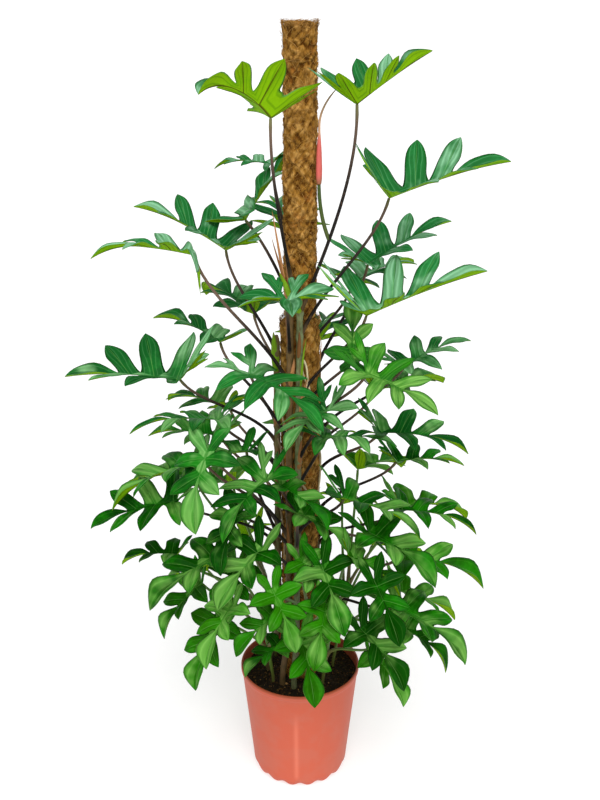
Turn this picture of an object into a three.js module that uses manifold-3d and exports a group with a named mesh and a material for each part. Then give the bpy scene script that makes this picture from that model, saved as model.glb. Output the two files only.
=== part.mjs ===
// Potted philodendron pedatum climbing a coir pole, in millimetres, +Z up.
// The origin is the middle of the pot's underside. The front of the plant faces -Y.
import * as THREE from 'three';
import { mergeVertices } from 'three/addons/utils/BufferGeometryUtils.js';
import Module from 'manifold-3d';

const wasm = await Module();
wasm.setup();

const SEAT_GAP = 0.3;

// pot: a thin moulded nursery pot with a rounded foot
const POT_HEIGHT = 240;
const POT_RIM_RADIUS = 120;
const POT_FOOT_RADIUS = 84;
const POT_FLOOR = 3;
const POT_WALL = 2;
const POT_WALL_FROM = 26;
const POT_WALL_TO = 226;
const POT_WALL_LOW_RADIUS = 97;
const POT_WALL_HIGH_RADIUS = 117.5;
const POT_SIDES = 32;
const FOOT_ARC_RISE = 4.5;

// soil
const SOIL_TOP = 216;
const SOIL_DOME = 6;
const SOIL_LUMP = 2.5;
const SOIL_CLEAR = 14;
const HOLE_PLAY = 0.8;
const HOLE_LENGTH = 100;

// coir pole: a thicker lower length with a thinner one standing on it
const POLE_LOWER_RADIUS = 36;
const POLE_UPPER_RADIUS = 29.5;
const POLE_FOOT = 40;
const POLE_JOIN = 965;
const POLE_TOP = 1460;
const POLE_SIDES = 24;

// climbing stems
const STEM_SIDES = 6;
const STEM_STEP = 82;
const STEM_LAP = 4;
const VINE_RADIUS = 6;
const VINE_FOOT = 165;
const VINE_FOOT_SPREAD = 20;
const VINE_SPREAD_HEIGHT = 120;
const VINE_POLE_GAP = 0.8;
const VINE_TWIST = 14;
const VINES = {
  front: { azimuth: -124, top: 1045 },
  centre: { azimuth: -101, top: 1000 },
  right: { azimuth: 36, top: 900 },
  back: { azimuth: 92, top: 1055 },
  left: { azimuth: 180, top: 935 },
};

// young green shoots that stand in the soil round the pole, with their blades grown on
const SHOOT_RADIUS = 3.2;
const SHOOT_FOOT = 175;
const SHOOT_DISTANCE = 68;
const SHOOT_LEAN = 0.16;
const SHOOTS = {
  shoot_front: { azimuth: -80, top: 430 },
  shoot_right: { azimuth: -48, top: 430 },
  shoot_left: { azimuth: 218, top: 415 },
  shoot_east: { azimuth: 8, top: 425 },
  shoot_west: { azimuth: 138, top: 415 },
};

// leaf stalks
const STALK_RADIUS = 2.3;
const STALK_SIDES = 4;
const STALK_STEPS = 3;
const STALK_RISE = 68;
const STALK_CLEAR = 12;
const STALK_MOVES = 8;

// growing tip: a slim stem that forks off the first leaf's stalk, and on it a sheath with the
// rolled young leaf in it
const TIP_FORK = 0.36;
const TIP_SEAT = [32, -22, 1204];
const TIP_BEND = [33, -24, 1150];
const TIP_STEM_RADIUS = 3;
const SHEATH_RADIUS = 5.5;
const SHEATH_LENGTH = 82;
const ROLLED_LEAF_RADIUS = 1.8;
const ROLLED_LEAF_LENGTH = 78;
const ROLLED_LEAF_HOOK = 0.008;
const ROLLED_LEAF_HOOK_FROM = 95;

// leaf blades, in parts of the blade's length; each lobe is [base on the midrib, angle from it,
// length, half width, reach of the web in front of it]
const BLADE_HALF_THICKNESS = 0.9;
const RIB_STATIONS = [0, 0.4, 0.74, 1];
const SHORT_STATIONS = [0, 0.58, 1];
const LOBE_PEAK = 1.25;
const LOBE_TROUGH = 0.25;
const EDGE_WAVE = 0.14;
const FORMS = {
  mature: {
    neck: 0.53,
    neckHalf: 0.013,
    terminal: 0.092,
    lobes: [
      [0.43, 50, 0.4, 0.07, 0.014],
      [0.22, 71, 0.45, 0.076, 0.032],
      [0.03, 98, 0.43, 0.068, 0.055],
      [0, 135, 0.46, 0.062, 0.12],
    ],
    spur: { at: 0.3, angle: 190, length: 0.25, half: 0.038, web: 0.12 },
  },
  broad: {
    neck: 0.52,
    neckHalf: 0.05,
    terminal: 0.11,
    lobes: [
      [0.38, 48, 0.34, 0.07, 0.05],
      [0.17, 72, 0.46, 0.08, 0.07],
      [0, 96, 0.5, 0.07, 0.22],
      [0, 130, 0.46, 0.055, 0.27],
    ],
    spur: null,
  },
  young: {
    neck: 0.47,
    neckHalf: 0.022,
    terminal: 0.16,
    lobes: [
      [0.33, 52, 0.4, 0.095, 0.03],
      [0.1, 86, 0.44, 0.1, 0.08],
      [0, 136, 0.42, 0.09, 0.13],
    ],
    spur: null,
  },
};
// how a blade is bent: the fold up from its midrib, the arch of each half and the droop along the
// midrib in degrees, how far the hind lobes are tipped up, and how strongly the lobes curl down
const BEND = { fold: 24, arch: 40, droop: 25, hind: 50, curl: 1 };
const FAN = { fold: 33, arch: 8, droop: 9, hind: 72, curl: 0.2 };
const FAN_LEFT = { fold: 30, arch: 18, droop: 18, curl: 0.3 };
const CUPPED = { fold: 52, arch: 10, droop: 5, curl: 0.1 };
const HANGING = { fold: 38, arch: 30, droop: 70, curl: 0.3 };
const HIND_FROM = 75;
const HIND_TO = 140;
const BASE_NOTCH = 0.03;
const SPUR_HEEL = 0.035;

// each leaf: its stem and the height it leaves it, the place of its blade's foot, the compass
// heading, pitch and roll of its midrib in degrees, its length, its form, and how it bends
const leaf = (stem, node, foot, turn, length, form, bend) => ({
  stem, node, foot, turn, length, form, bend,
});
const MATURE = 'mature';
const BROAD = 'broad';
const YOUNG = 'young';
const LEAVES = [
  leaf('centre', 985, [92, -50, 1336], [14, 36, 4], 150, BROAD, CUPPED),
  leaf('front', 1037, [-46, -110, 1319], [216, 48, 28], 182, BROAD, HANGING),
  leaf('back', 1040, [-50, 95, 1222], [165, 12, -8], 115, MATURE, { fold: 15 }),
  leaf('centre', 940, [152, -10, 1179], [0, 22, 20], 215, MATURE, FAN),
  leaf('back', 967, [-96, 31, 1134], [19, 60, -8], 175, YOUNG),
  leaf('left', 901, [-131, 20, 1083], [171, 34, -11], 184, MATURE, FAN_LEFT),
  leaf('front', 849, [-179, -70, 1094], [188, 15, 4], 172, MATURE, { droop: 15, hind: -65 }),
  leaf('right', 860, [124, 70, 1047], [15, 32, 16], 180, MATURE, { arch: 20, droop: 15, curl: 0.3 }),
  leaf('front', 906, [-22, -93, 1019], [-87, 17, 1], 195, MATURE, { fold: 12, droop: 5 }),
  leaf('centre', 823, [118, -12, 972], [-10, 28, 14], 225, MATURE, FAN),
  leaf('centre', 794, [91, -48, 897], [84, 65, 7], 120, YOUNG),
  leaf('left', 760, [-150, 72, 897], [162, 32, 0], 145, YOUNG),
  leaf('centre', 750, [115, -100, 894], [-46, -2, 24], 155, MATURE),
  leaf('right', 720, [193, 30, 864], [12, 32, 10], 140, MATURE, { fold: 12, arch: 15 }),
  leaf('left', 721, [-216, -28, 857], [177, 9, -16], 215, MATURE, FAN_LEFT),
  leaf('front', 740, [-87, -75, 884], [-42, -4, 0], 185, MATURE, { fold: 10, hind: 20 }),
  leaf('left', 669, [-146, -44, 786], [194, 11, 9], 165, MATURE, { fold: 10, droop: 15 }),
  leaf('right', 641, [142, -69, 771], [-4, 4, 4], 170, MATURE),
  leaf('left', 610, [-150, 30, 722], [170, 12, -5], 150, MATURE),
  leaf('left', 554, [-173, -50, 703], [189, -2, 3], 200, MATURE, { droop: 40 }),
  leaf('front', 538, [-160, -141, 764], [-106, -27, 12], 150, YOUNG, { fold: 10, hind: 25 }),
  leaf('centre', 703, [46, -85, 820], [-121, 7, 7], 150, MATURE, { fold: 10 }),
  leaf('centre', 646, [39, -98, 773], [-13, 12, 1], 135, MATURE, { fold: 5, droop: 15 }),
  leaf('front', 589, [-60, -112, 700], [-120, -3, 1], 160, MATURE),
  leaf('right', 560, [182, 3, 682], [5, 10, 0], 135, MATURE),
  leaf('centre', 550, [79, -110, 659], [-28, 4, -6], 160, MATURE),
  leaf('left', 500, [-230, -56, 629], [187, -5, -23], 175, MATURE),
  leaf('right', 488, [189, -27, 596], [-9, 4, -2], 155, MATURE),
  leaf('right', 500, [125, -115, 595], [-40, -4, 6], 160, YOUNG, { hind: 30 }),
  leaf('left', 450, [-145, -115, 550], [214, -8, -6], 165, YOUNG, { hind: 30 }),
  leaf('front', 470, [-68, -150, 582], [-128, -16, -10], 140, YOUNG),
  leaf('centre', 437, [39, -155, 549], [-75, -16, 12], 140, YOUNG),
  leaf('right', 430, [177, -90, 524], [-12, 9, 0], 175, YOUNG),
  leaf('front', 520, [-111, -115, 636], [-112, -24, 12], 125, YOUNG, { hind: 25 }),
  leaf('centre', 590, [-34, -95, 678], [-38, -8, -8], 125, YOUNG, { hind: 15 }),
  leaf('centre', 520, [-4, -105, 629], [-24, -12, 6], 125, YOUNG, { hind: 15 }),
  leaf('back', 920, [-20, 150, 1090], [100, 25, 0], 190, MATURE),
  leaf('back', 850, [100, 140, 990], [45, 20, 0], 190, MATURE),
  leaf('back', 780, [-90, 150, 930], [125, 20, 0], 190, YOUNG),
  leaf('back', 710, [30, 190, 860], [80, 15, 0], 200, MATURE),
  leaf('back', 640, [150, 150, 770], [35, 10, 0], 190, YOUNG),
  leaf('back', 590, [-140, 150, 730], [140, 10, 0], 190, MATURE),
  leaf('back', 510, [0, 210, 650], [90, 5, 0], 190, YOUNG),
  leaf('left', 523, [-96, -77, 737], [-144, 13, 4], 135, YOUNG),
  leaf('right', 350, [178, -130, 450], [-32, -10, 0], 165, YOUNG, { hind: 25 }),
  leaf('shoot_front', 305, [0, -170, 408], [-74, -24, 0], 130, YOUNG),
  leaf('shoot_front', 320, [-40, -181, 465], [-144, -15, -13], 108, YOUNG),
  leaf('shoot_front', 400, [-49, -193, 523], [-61, -32, 13], 120, YOUNG),
  leaf('shoot_front', 354, [46, -202, 495], [-101, -21, -8], 120, YOUNG),
  leaf('shoot_front', 416, [0, -139, 555], [-51, -26, 12], 110, YOUNG),
  leaf('shoot_right', 333, [109, -193, 442], [-51, -14, 9], 135, YOUNG),
  leaf('shoot_right', 290, [130, -140, 365], [-42, -30, 0], 125, YOUNG),
  leaf('shoot_right', 405, [130, -200, 545], [-70, -22, 10], 125, YOUNG),
  leaf('shoot_right', 370, [190, -95, 385], [-18, -20, 0], 130, YOUNG),
  leaf('shoot_right', 410, [85, -157, 571], [-7, -21, -1], 125, YOUNG),
  leaf('shoot_left', 290, [-144, -112, 412], [232, -34, 0], 145, YOUNG),
  leaf('shoot_left', 330, [-186, -85, 472], [212, -30, 0], 128, YOUNG),
  leaf('shoot_left', 300, [-30, -158, 386], [-150, -8, 0], 95, YOUNG),
  leaf('shoot_left', 385, [-120, -190, 490], [240, -18, 8], 125, YOUNG),
  leaf('shoot_left', 395, [-239, 0, 486], [175, 5, 0], 120, YOUNG),
  leaf('shoot_left', 395, [-118, -106, 521], [-98, -22, -11], 120, YOUNG),
  leaf('shoot_east', 330, [150, 120, 440], [40, -15, 0], 165, YOUNG),
  leaf('shoot_east', 290, [190, 10, 400], [5, -15, 0], 150, YOUNG),
  leaf('shoot_east', 360, [90, 190, 500], [65, -10, 0], 165, YOUNG),
  leaf('shoot_east', 400, [200, 60, 560], [20, 0, 0], 165, YOUNG),
  leaf('shoot_east', 410, [120, 170, 590], [50, 0, 0], 175, YOUNG),
  leaf('shoot_west', 330, [-110, 180, 430], [120, -15, 0], 165, YOUNG),
  leaf('shoot_west', 300, [-190, 85, 400], [155, -15, 0], 150, YOUNG),
  leaf('shoot_west', 390, [-140, 160, 560], [135, 0, 0], 175, YOUNG),
  leaf('shoot_west', 400, [-210, 70, 620], [160, 0, 0], 165, YOUNG),
];

const LEAF = new THREE.MeshStandardMaterial({ color: 0x2f7d32, roughness: 0.4, metalness: 0 });
const STEM = new THREE.MeshStandardMaterial({ color: 0x3d2e24, roughness: 0.55, metalness: 0 });
const SHEATH = new THREE.MeshStandardMaterial({ color: 0xc4625a, roughness: 0.5, metalness: 0 });
const COIR = new THREE.MeshStandardMaterial({ color: 0x96663a, roughness: 0.95, metalness: 0 });
const SOIL = new THREE.MeshStandardMaterial({ color: 0x2a1c10, roughness: 0.95, metalness: 0 });
const POT = new THREE.MeshStandardMaterial({ color: 0xd06c52, roughness: 0.6, metalness: 0 });

const radians = (degrees) => THREE.MathUtils.degToRad(degrees);

// a repeatable number from 0 to 1 for a place in a series
function scatter(index) {
  const value = Math.sin(index * 12.9898 + 4.1414) * 43758.5453;
  return value - Math.floor(value);
}

// a closed geometry as a solid, and back
function solid(geometry) {
  const bare = geometry.clone();
  bare.deleteAttribute('normal');
  bare.deleteAttribute('uv');
  const merged = mergeVertices(bare, 1e-4);
  const mesh = new wasm.Mesh({
    numProp: 3,
    vertProperties: new Float32Array(merged.attributes.position.array),
    triVerts: new Uint32Array(merged.index.array),
  });
  return new wasm.Manifold(mesh);
}

function fromSolid(body) {
  const mesh = body.getMesh();
  const geometry = new THREE.BufferGeometry();
  geometry.setAttribute('position', new THREE.BufferAttribute(new Float32Array(mesh.vertProperties), 3));
  geometry.setIndex(new THREE.BufferAttribute(new Uint32Array(mesh.triVerts), 1));
  return geometry;
}

// a profile of [radius, height] points turned round the Z axis
function turned(profile, sides) {
  const points = profile.map(([radius, height]) => new THREE.Vector2(radius, height));
  const geometry = new THREE.LatheGeometry(points, sides);
  geometry.rotateX(Math.PI / 2);
  return geometry;
}

// a round bar of few sides along a curve
function tube(curve, radius, sides, steps) {
  const section = new THREE.Shape();
  for (let i = 0; i < sides; i += 1) {
    const angle = (2 * Math.PI * i) / sides;
    const x = radius * Math.cos(angle);
    const y = radius * Math.sin(angle);
    if (i === 0) section.moveTo(x, y);
    else section.lineTo(x, y);
  }
  section.closePath();
  return new THREE.ExtrudeGeometry(section, { steps, extrudePath: curve, bevelEnabled: false });
}

// outer radius of the pot's plain wall at a height
function potWallRadius(height) {
  const along = (height - POT_WALL_FROM) / (POT_WALL_TO - POT_WALL_FROM);
  return POT_WALL_LOW_RADIUS + along * (POT_WALL_HIGH_RADIUS - POT_WALL_LOW_RADIUS);
}

function pot() {
  const profile = [
    [0, 0],
    [POT_FOOT_RADIUS - 10, 0],
    [POT_FOOT_RADIUS, 0],
    [POT_FOOT_RADIUS + 7, 7],
    [POT_WALL_LOW_RADIUS, POT_WALL_FROM],
    [POT_WALL_HIGH_RADIUS, POT_WALL_TO],
    [POT_RIM_RADIUS, 231],
    [POT_RIM_RADIUS, POT_HEIGHT - 2],
    [POT_RIM_RADIUS - 1.5, POT_HEIGHT],
    [POT_RIM_RADIUS - 3.5, POT_HEIGHT - 1],
    [POT_WALL_HIGH_RADIUS - POT_WALL, POT_WALL_TO],
    [POT_WALL_LOW_RADIUS - POT_WALL, POT_WALL_FROM],
    [POT_FOOT_RADIUS + 4, 12],
    [POT_FOOT_RADIUS - 8, POT_FLOOR],
    [0, POT_FLOOR],
  ];
  const geometry = turned(profile, POT_SIDES);
  const position = geometry.attributes.position;
  // every other corner of the outer foot is raised, which leaves arcs between small feet
  for (let i = 0; i < position.count; i += 1) {
    const x = position.getX(i);
    const y = position.getY(i);
    const z = position.getZ(i);
    const outer = Math.hypot(x, y) > POT_FOOT_RADIUS - 1 && z < 8;
    const side = Math.round((Math.atan2(y, x) + Math.PI / 2) / ((2 * Math.PI) / POT_SIDES));
    if (outer && side % 2 === 0) position.setZ(i, z + FOOT_ARC_RISE * (1 - z / 20));
  }
  return fromSolid(solid(geometry));
}

// the axis of a climbing stem at a height
function vineAxis(vine, height) {
  const angle = radians(vine.azimuth + (VINE_TWIST * Math.max(height - SOIL_TOP - SOIL_CLEAR, 0)) / 1000);
  const foot = THREE.MathUtils.smoothstep(height, SOIL_TOP + SOIL_CLEAR, SOIL_TOP + VINE_SPREAD_HEIGHT);
  const join = THREE.MathUtils.smoothstep(height, POLE_JOIN + 15, POLE_JOIN + 90);
  const pole = POLE_LOWER_RADIUS + (POLE_UPPER_RADIUS - POLE_LOWER_RADIUS) * join;
  const distance = pole + VINE_RADIUS + VINE_POLE_GAP + VINE_FOOT_SPREAD * (1 - foot);
  return new THREE.Vector3(distance * Math.cos(angle), distance * Math.sin(angle), height);
}

// the axis of a free shoot at a height: it leans out in a straight line
function shootAxis(shoot, height) {
  const angle = radians(shoot.azimuth);
  const distance = SHOOT_DISTANCE + SHOOT_LEAN * Math.max(height - SOIL_TOP - SOIL_CLEAR, 0);
  return new THREE.Vector3(distance * Math.cos(angle), distance * Math.sin(angle), height);
}

function stemAxis(name, height) {
  return VINES[name] ? vineAxis(VINES[name], height) : shootAxis(SHOOTS[name], height);
}

// a plain round hole in the soil for a stem
function stemHole(name, foot, radius) {
  const axis = stemAxis(name, foot);
  const hole = new THREE.CylinderGeometry(radius + HOLE_PLAY, radius + HOLE_PLAY, HOLE_LENGTH, 6);
  hole.rotateX(Math.PI / 2);
  hole.translate(axis.x, axis.y, foot - SEAT_GAP + HOLE_LENGTH / 2);
  return solid(hole);
}

function soil() {
  const profile = [
    [0, POT_FLOOR + SEAT_GAP],
    [POT_FOOT_RADIUS - 8.2, POT_FLOOR + SEAT_GAP],
    [POT_FOOT_RADIUS + 3.8, 12.3],
    [potWallRadius(27) - POT_WALL - SEAT_GAP, 27],
    [potWallRadius(SOIL_TOP - SOIL_LUMP) - POT_WALL - 2 * SEAT_GAP, SOIL_TOP - SOIL_LUMP],
    [96, SOIL_TOP],
    [52, SOIL_TOP + SOIL_DOME],
    [0, SOIL_TOP + SOIL_DOME],
  ];
  const geometry = turned(profile, POT_SIDES);
  const position = geometry.attributes.position;
  for (let i = 0; i < position.count; i += 1) {
    const x = position.getX(i);
    const y = position.getY(i);
    const radius = Math.hypot(x, y);
    if (position.getZ(i) >= SOIL_TOP && radius > 40) {
      const lump = SOIL_LUMP * Math.sin(x * 0.21 + 1) * Math.cos(y * 0.17);
      position.setZ(i, position.getZ(i) + lump);
    }
  }
  let body = solid(geometry);
  const holeRadius = POLE_LOWER_RADIUS + SEAT_GAP;
  const poleHole = new THREE.CylinderGeometry(holeRadius, holeRadius, 2 * SOIL_TOP, POLE_SIDES);
  poleHole.rotateX(Math.PI / 2);
  poleHole.translate(0, 0, POLE_FOOT - SEAT_GAP + SOIL_TOP);
  body = body.subtract(solid(poleHole));
  Object.keys(VINES).forEach((name) => {
    body = body.subtract(stemHole(name, VINE_FOOT, VINE_RADIUS));
  });
  Object.keys(SHOOTS).forEach((name) => {
    body = body.subtract(stemHole(name, SHOOT_FOOT, SHOOT_RADIUS));
  });
  return fromSolid(body);
}

function pole(radius, bottom, top) {
  const geometry = new THREE.CylinderGeometry(radius, radius, top - bottom, POLE_SIDES, 1);
  geometry.rotateX(Math.PI / 2);
  geometry.translate(0, 0, (top + bottom) / 2);
  return geometry;
}

// how a leaf's midrib is turned, and the direction square to its blade at the foot
function leafRotation(leaf) {
  const [heading, pitch, roll] = leaf.turn.map(radians);
  return new THREE.Euler(roll, -pitch, heading, 'ZYX');
}

// a blade in its place on the plant
function placedBlade(leaf, seed) {
  const blade = bladeGeometry(leaf, seed);
  blade.applyMatrix4(new THREE.Matrix4().makeRotationFromEuler(leafRotation(leaf)));
  blade.translate(...leaf.foot);
  return solid(blade);
}

// the line of a stalk, from a stem's axis to a place that lies a drop short of its blade's foot
function stalkCurve(leaf, drop) {
  const root = stemAxis(leaf.stem, leaf.node);
  const foot = new THREE.Vector3(...leaf.foot);
  const up = new THREE.Vector3(0, 0, 1).applyEuler(leafRotation(leaf));
  const chord = foot.clone().sub(root);
  const reach = chord.length();
  const arrive = chord.clone().normalize().addScaledVector(up, 0.6).normalize();
  const outward = Math.atan2(chord.y, chord.x);
  const rise = radians(STALK_RISE);
  const leave = new THREE.Vector3(
    Math.cos(rise) * Math.cos(outward),
    Math.cos(rise) * Math.sin(outward),
    Math.sin(rise),
  );
  const end = foot.clone().addScaledVector(arrive, -drop);
  return new THREE.CubicBezierCurve3(
    root,
    root.clone().addScaledVector(leave, reach * 0.35),
    end.clone().addScaledVector(arrive, -reach * 0.3),
    end,
  );
}

function stalk(leaf, drop) {
  return solid(tube(stalkCurve(leaf, drop), STALK_RADIUS, STALK_SIDES, STALK_STEPS));
}

// the stalk of a blade that is a body of its own: it is let up towards the blade until the seat
// gap is left, which it can't pass, because each move is no longer than the gap it closes
function seatedStalk(leaf, seed) {
  const blade = placedBlade(leaf, seed);
  let drop = STALK_CLEAR;
  let bar = stalk(leaf, drop);
  for (let i = 0; i < STALK_MOVES; i += 1) {
    drop -= bar.minGap(blade, 2 * STALK_CLEAR) - SEAT_GAP;
    bar = stalk(leaf, drop);
  }
  return bar;
}

// a stem: straight up through the soil, then along its axis to its top
function stemBody(name, radius, foot, top) {
  const clear = SOIL_TOP + SOIL_CLEAR;
  const axis = stemAxis(name, foot);
  const straight = new THREE.CylinderGeometry(radius, radius, clear - foot, STEM_SIDES);
  straight.rotateX(Math.PI / 2);
  straight.translate(axis.x, axis.y, (clear + foot) / 2);
  const start = clear - STEM_LAP;
  const count = Math.round((top - start) / STEM_STEP);
  const step = (top - start) / count;
  const places = Array.from({ length: count + 1 }, (_, i) => stemAxis(name, start + step * i));
  const rising = tube(new THREE.CatmullRomCurve3(places), radius, STEM_SIDES, count);
  return solid(straight).add(solid(rising));
}

// the slim stem of the growing tip, from the first leaf's stalk to the sheath's seat
function tipStem() {
  const fork = stalkCurve(LEAVES[0], STALK_CLEAR).getPoint(TIP_FORK);
  const bend = new THREE.Vector3(...TIP_BEND);
  const seat = new THREE.Vector3(...TIP_SEAT);
  const curve = new THREE.QuadraticBezierCurve3(fork, bend, seat);
  return solid(tube(curve, TIP_STEM_RADIUS, STEM_SIDES, STALK_STEPS));
}

// a climbing stem with all its stalks, one dark body
function vine(name) {
  let body = stemBody(name, VINE_RADIUS, VINE_FOOT, VINES[name].top);
  LEAVES.forEach((leaf, i) => {
    if (leaf.stem === name) body = body.add(seatedStalk(leaf, i + 1));
  });
  if (name === LEAVES[0].stem) body = body.add(tipStem());
  return fromSolid(body);
}

// a young shoot with its stalks and blades, one green body
function shoot(name) {
  let body = stemBody(name, SHOOT_RADIUS, SHOOT_FOOT, SHOOTS[name].top);
  LEAVES.forEach((leaf, i) => {
    if (leaf.stem === name) body = body.add(stalk(leaf, 0)).add(placedBlade(leaf, i + 1));
  });
  return fromSolid(body);
}

// a blade is drawn flat first, as a list of points {u, v, lift, edge}: u runs along the midrib,
// v to the side, lift is out of the flat, and edge is 0 on a rib and 1 on the outline
class Blade {
  constructor() {
    this.points = [];
    this.faces = [];
    this.index = new Map();
  }

  point(u, v, lift, edge) {
    const key = `${u.toFixed(5)} ${v.toFixed(5)}`;
    if (!this.index.has(key)) {
      this.index.set(key, this.points.length);
      this.points.push({ u, v, lift, edge });
    }
    return this.index.get(key);
  }

  face(a, b, c) {
    if (a === b || b === c || a === c) return;
    const [p, q, r] = [a, b, c].map((i) => this.points[i]);
    const area = (q.u - p.u) * (r.v - p.v) - (r.u - p.u) * (q.v - p.v);
    this.faces.push(area > 0 ? [a, b, c] : [a, c, b]);
  }

  strip(ribs, edges) {
    for (let i = 0; i + 1 < ribs.length; i += 1) {
      this.face(ribs[i], edges[i], edges[i + 1]);
      this.face(ribs[i], edges[i + 1], ribs[i + 1]);
    }
  }
}

const bulge = (station, peak) => Math.max(Math.sin(Math.PI * station ** peak), 0) ** 0.9;

// half of a lobe: from its rib to an edge that starts at the web and swells to its half width;
// stops are the places along the rib, in parts of the lobe's length
function halfLobe(blade, lobe, start, side, mirror, stops = RIB_STATIONS) {
  const { base, angle, length, half, peak, curl, phase } = lobe;
  const ground = lobe.ground ?? 0;
  const from = stops[0];
  const root = [base[0] + from * length * Math.cos(angle), base[1] + from * length * Math.sin(angle)];
  const ribs = [];
  const edges = [];
  stops.forEach((stop) => {
    const along = stop * length;
    const station = (stop - from) / (1 - from);
    const u = base[0] + along * Math.cos(angle);
    const v = base[1] + along * Math.sin(angle);
    const lift = ground - curl * along * along;
    const width = half * bulge(station, peak);
    const fade = (1 - station) ** 3;
    const edgeU = u - side * width * Math.sin(angle) + (start[0] - root[0]) * fade;
    const edgeV = v + side * width * Math.cos(angle) + (start[1] - root[1]) * fade;
    const wave = EDGE_WAVE * Math.sin(2 * Math.PI * (1.25 * station + phase));
    const tip = stop === 1;
    const edgeLift = lift + width * (LOBE_TROUGH + wave);
    ribs.push(blade.point(u, mirror * v, lift, tip ? 1 : 0));
    edges.push(tip ? ribs.at(-1) : blade.point(edgeU, mirror * edgeV, edgeLift, 1));
  });
  blade.strip(ribs, edges);
}

// the whole cut blade of a form; seed varies how each lobe curls
function flatBlade(form, seed, curl) {
  const blade = new Blade();
  const neck = [form.neck, 0];
  const neckEdge = [form.neck, form.neckHalf];
  [1, -1].forEach((mirror) => {
    const draw = (u, v, lift, edge) => blade.point(u, mirror * v, lift, edge);
    const vary = (k) => scatter(seed * 17 + k + (mirror > 0 ? 0 : 7));
    const terminal = { base: neck, angle: 0, length: 1 - form.neck, half: form.terminal, peak: LOBE_PEAK };
    terminal.curl = curl * (0.15 + 0.5 * scatter(seed * 17 + 15));
    terminal.phase = scatter(seed + 3);
    halfLobe(blade, terminal, neckEdge, 1, mirror);

    const bases = form.lobes.map(([at]) => [at, 0]);
    const starts = form.lobes.map(([at, angle, , , web], k) => {
      if (k === 0) return neckEdge;
      const mean = radians((angle + form.lobes[k - 1][1]) / 2);
      const middle = (at + form.lobes[k - 1][0]) / 2;
      return [middle + web * Math.cos(mean), web * Math.sin(mean)];
    });
    const hub = draw(0, 0, 0, 0);
    const notch = draw(-BASE_NOTCH, 0, 0, 1);
    blade.face(draw(...neck, 0, 0), draw(...bases[0], 0, 0), draw(...neckEdge, 0, 1));
    form.lobes.forEach(([, degrees, length, half], k) => {
      const lobe = { base: bases[k], angle: radians(degrees), length, half, peak: LOBE_PEAK };
      lobe.curl = 0.7 * curl * vary(k);
      lobe.phase = vary(k + 20);
      const last = k + 1 === form.lobes.length;
      if (last && form.spur) {
        hindLobe(blade, form.spur, lobe, starts[k], mirror, hub, notch);
      } else if (last) {
        halfLobe(blade, lobe, starts[k], -1, mirror, SHORT_STATIONS);
        halfLobe(blade, lobe, [-BASE_NOTCH, 0], 1, mirror, SHORT_STATIONS);
      } else {
        const stops = k < 1 ? RIB_STATIONS : SHORT_STATIONS;
        halfLobe(blade, lobe, starts[k], -1, mirror, stops);
        halfLobe(blade, lobe, starts[k + 1], 1, mirror, stops);
        blade.face(draw(...bases[k], 0, 0), draw(...bases[k + 1], 0, 0), draw(...starts[k + 1], 0, 1));
      }
    });
  });
  return blade;
}

// the hindmost lobe, with a small lobe that branches off its rib
function hindLobe(blade, spur, lobe, start, mirror, hub, notch) {
  const reach = spur.at * lobe.length;
  const fork = [lobe.base[0] + reach * Math.cos(lobe.angle), reach * Math.sin(lobe.angle)];
  const ground = -lobe.curl * reach * reach;
  const mean = (lobe.angle + radians(spur.angle)) / 2;
  const crotch = [fork[0] + spur.web * Math.cos(mean), fork[1] + spur.web * Math.sin(mean)];
  const inner = radians(spur.angle + 100);
  const heel = [fork[0] + SPUR_HEEL * Math.cos(inner), fork[1] + SPUR_HEEL * Math.sin(inner)];
  const beyond = SHORT_STATIONS.map((station) => spur.at + (1 - spur.at) * station);
  const forkPoint = blade.point(fork[0], mirror * fork[1], ground, 0);
  const heelPoint = blade.point(heel[0], mirror * heel[1], ground, 1);
  blade.point(crotch[0], mirror * crotch[1], ground, 1);
  halfLobe(blade, lobe, start, -1, mirror, [0, ...beyond]);
  halfLobe(blade, lobe, crotch, 1, mirror, beyond);
  const { length, half } = spur;
  const small = { ...lobe, base: fork, angle: radians(spur.angle), length, half, ground };
  halfLobe(blade, small, crotch, -1, mirror, SHORT_STATIONS);
  halfLobe(blade, small, heel, 1, mirror, SHORT_STATIONS);
  blade.face(hub, forkPoint, heelPoint);
  blade.face(hub, heelPoint, notch);
}

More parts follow.
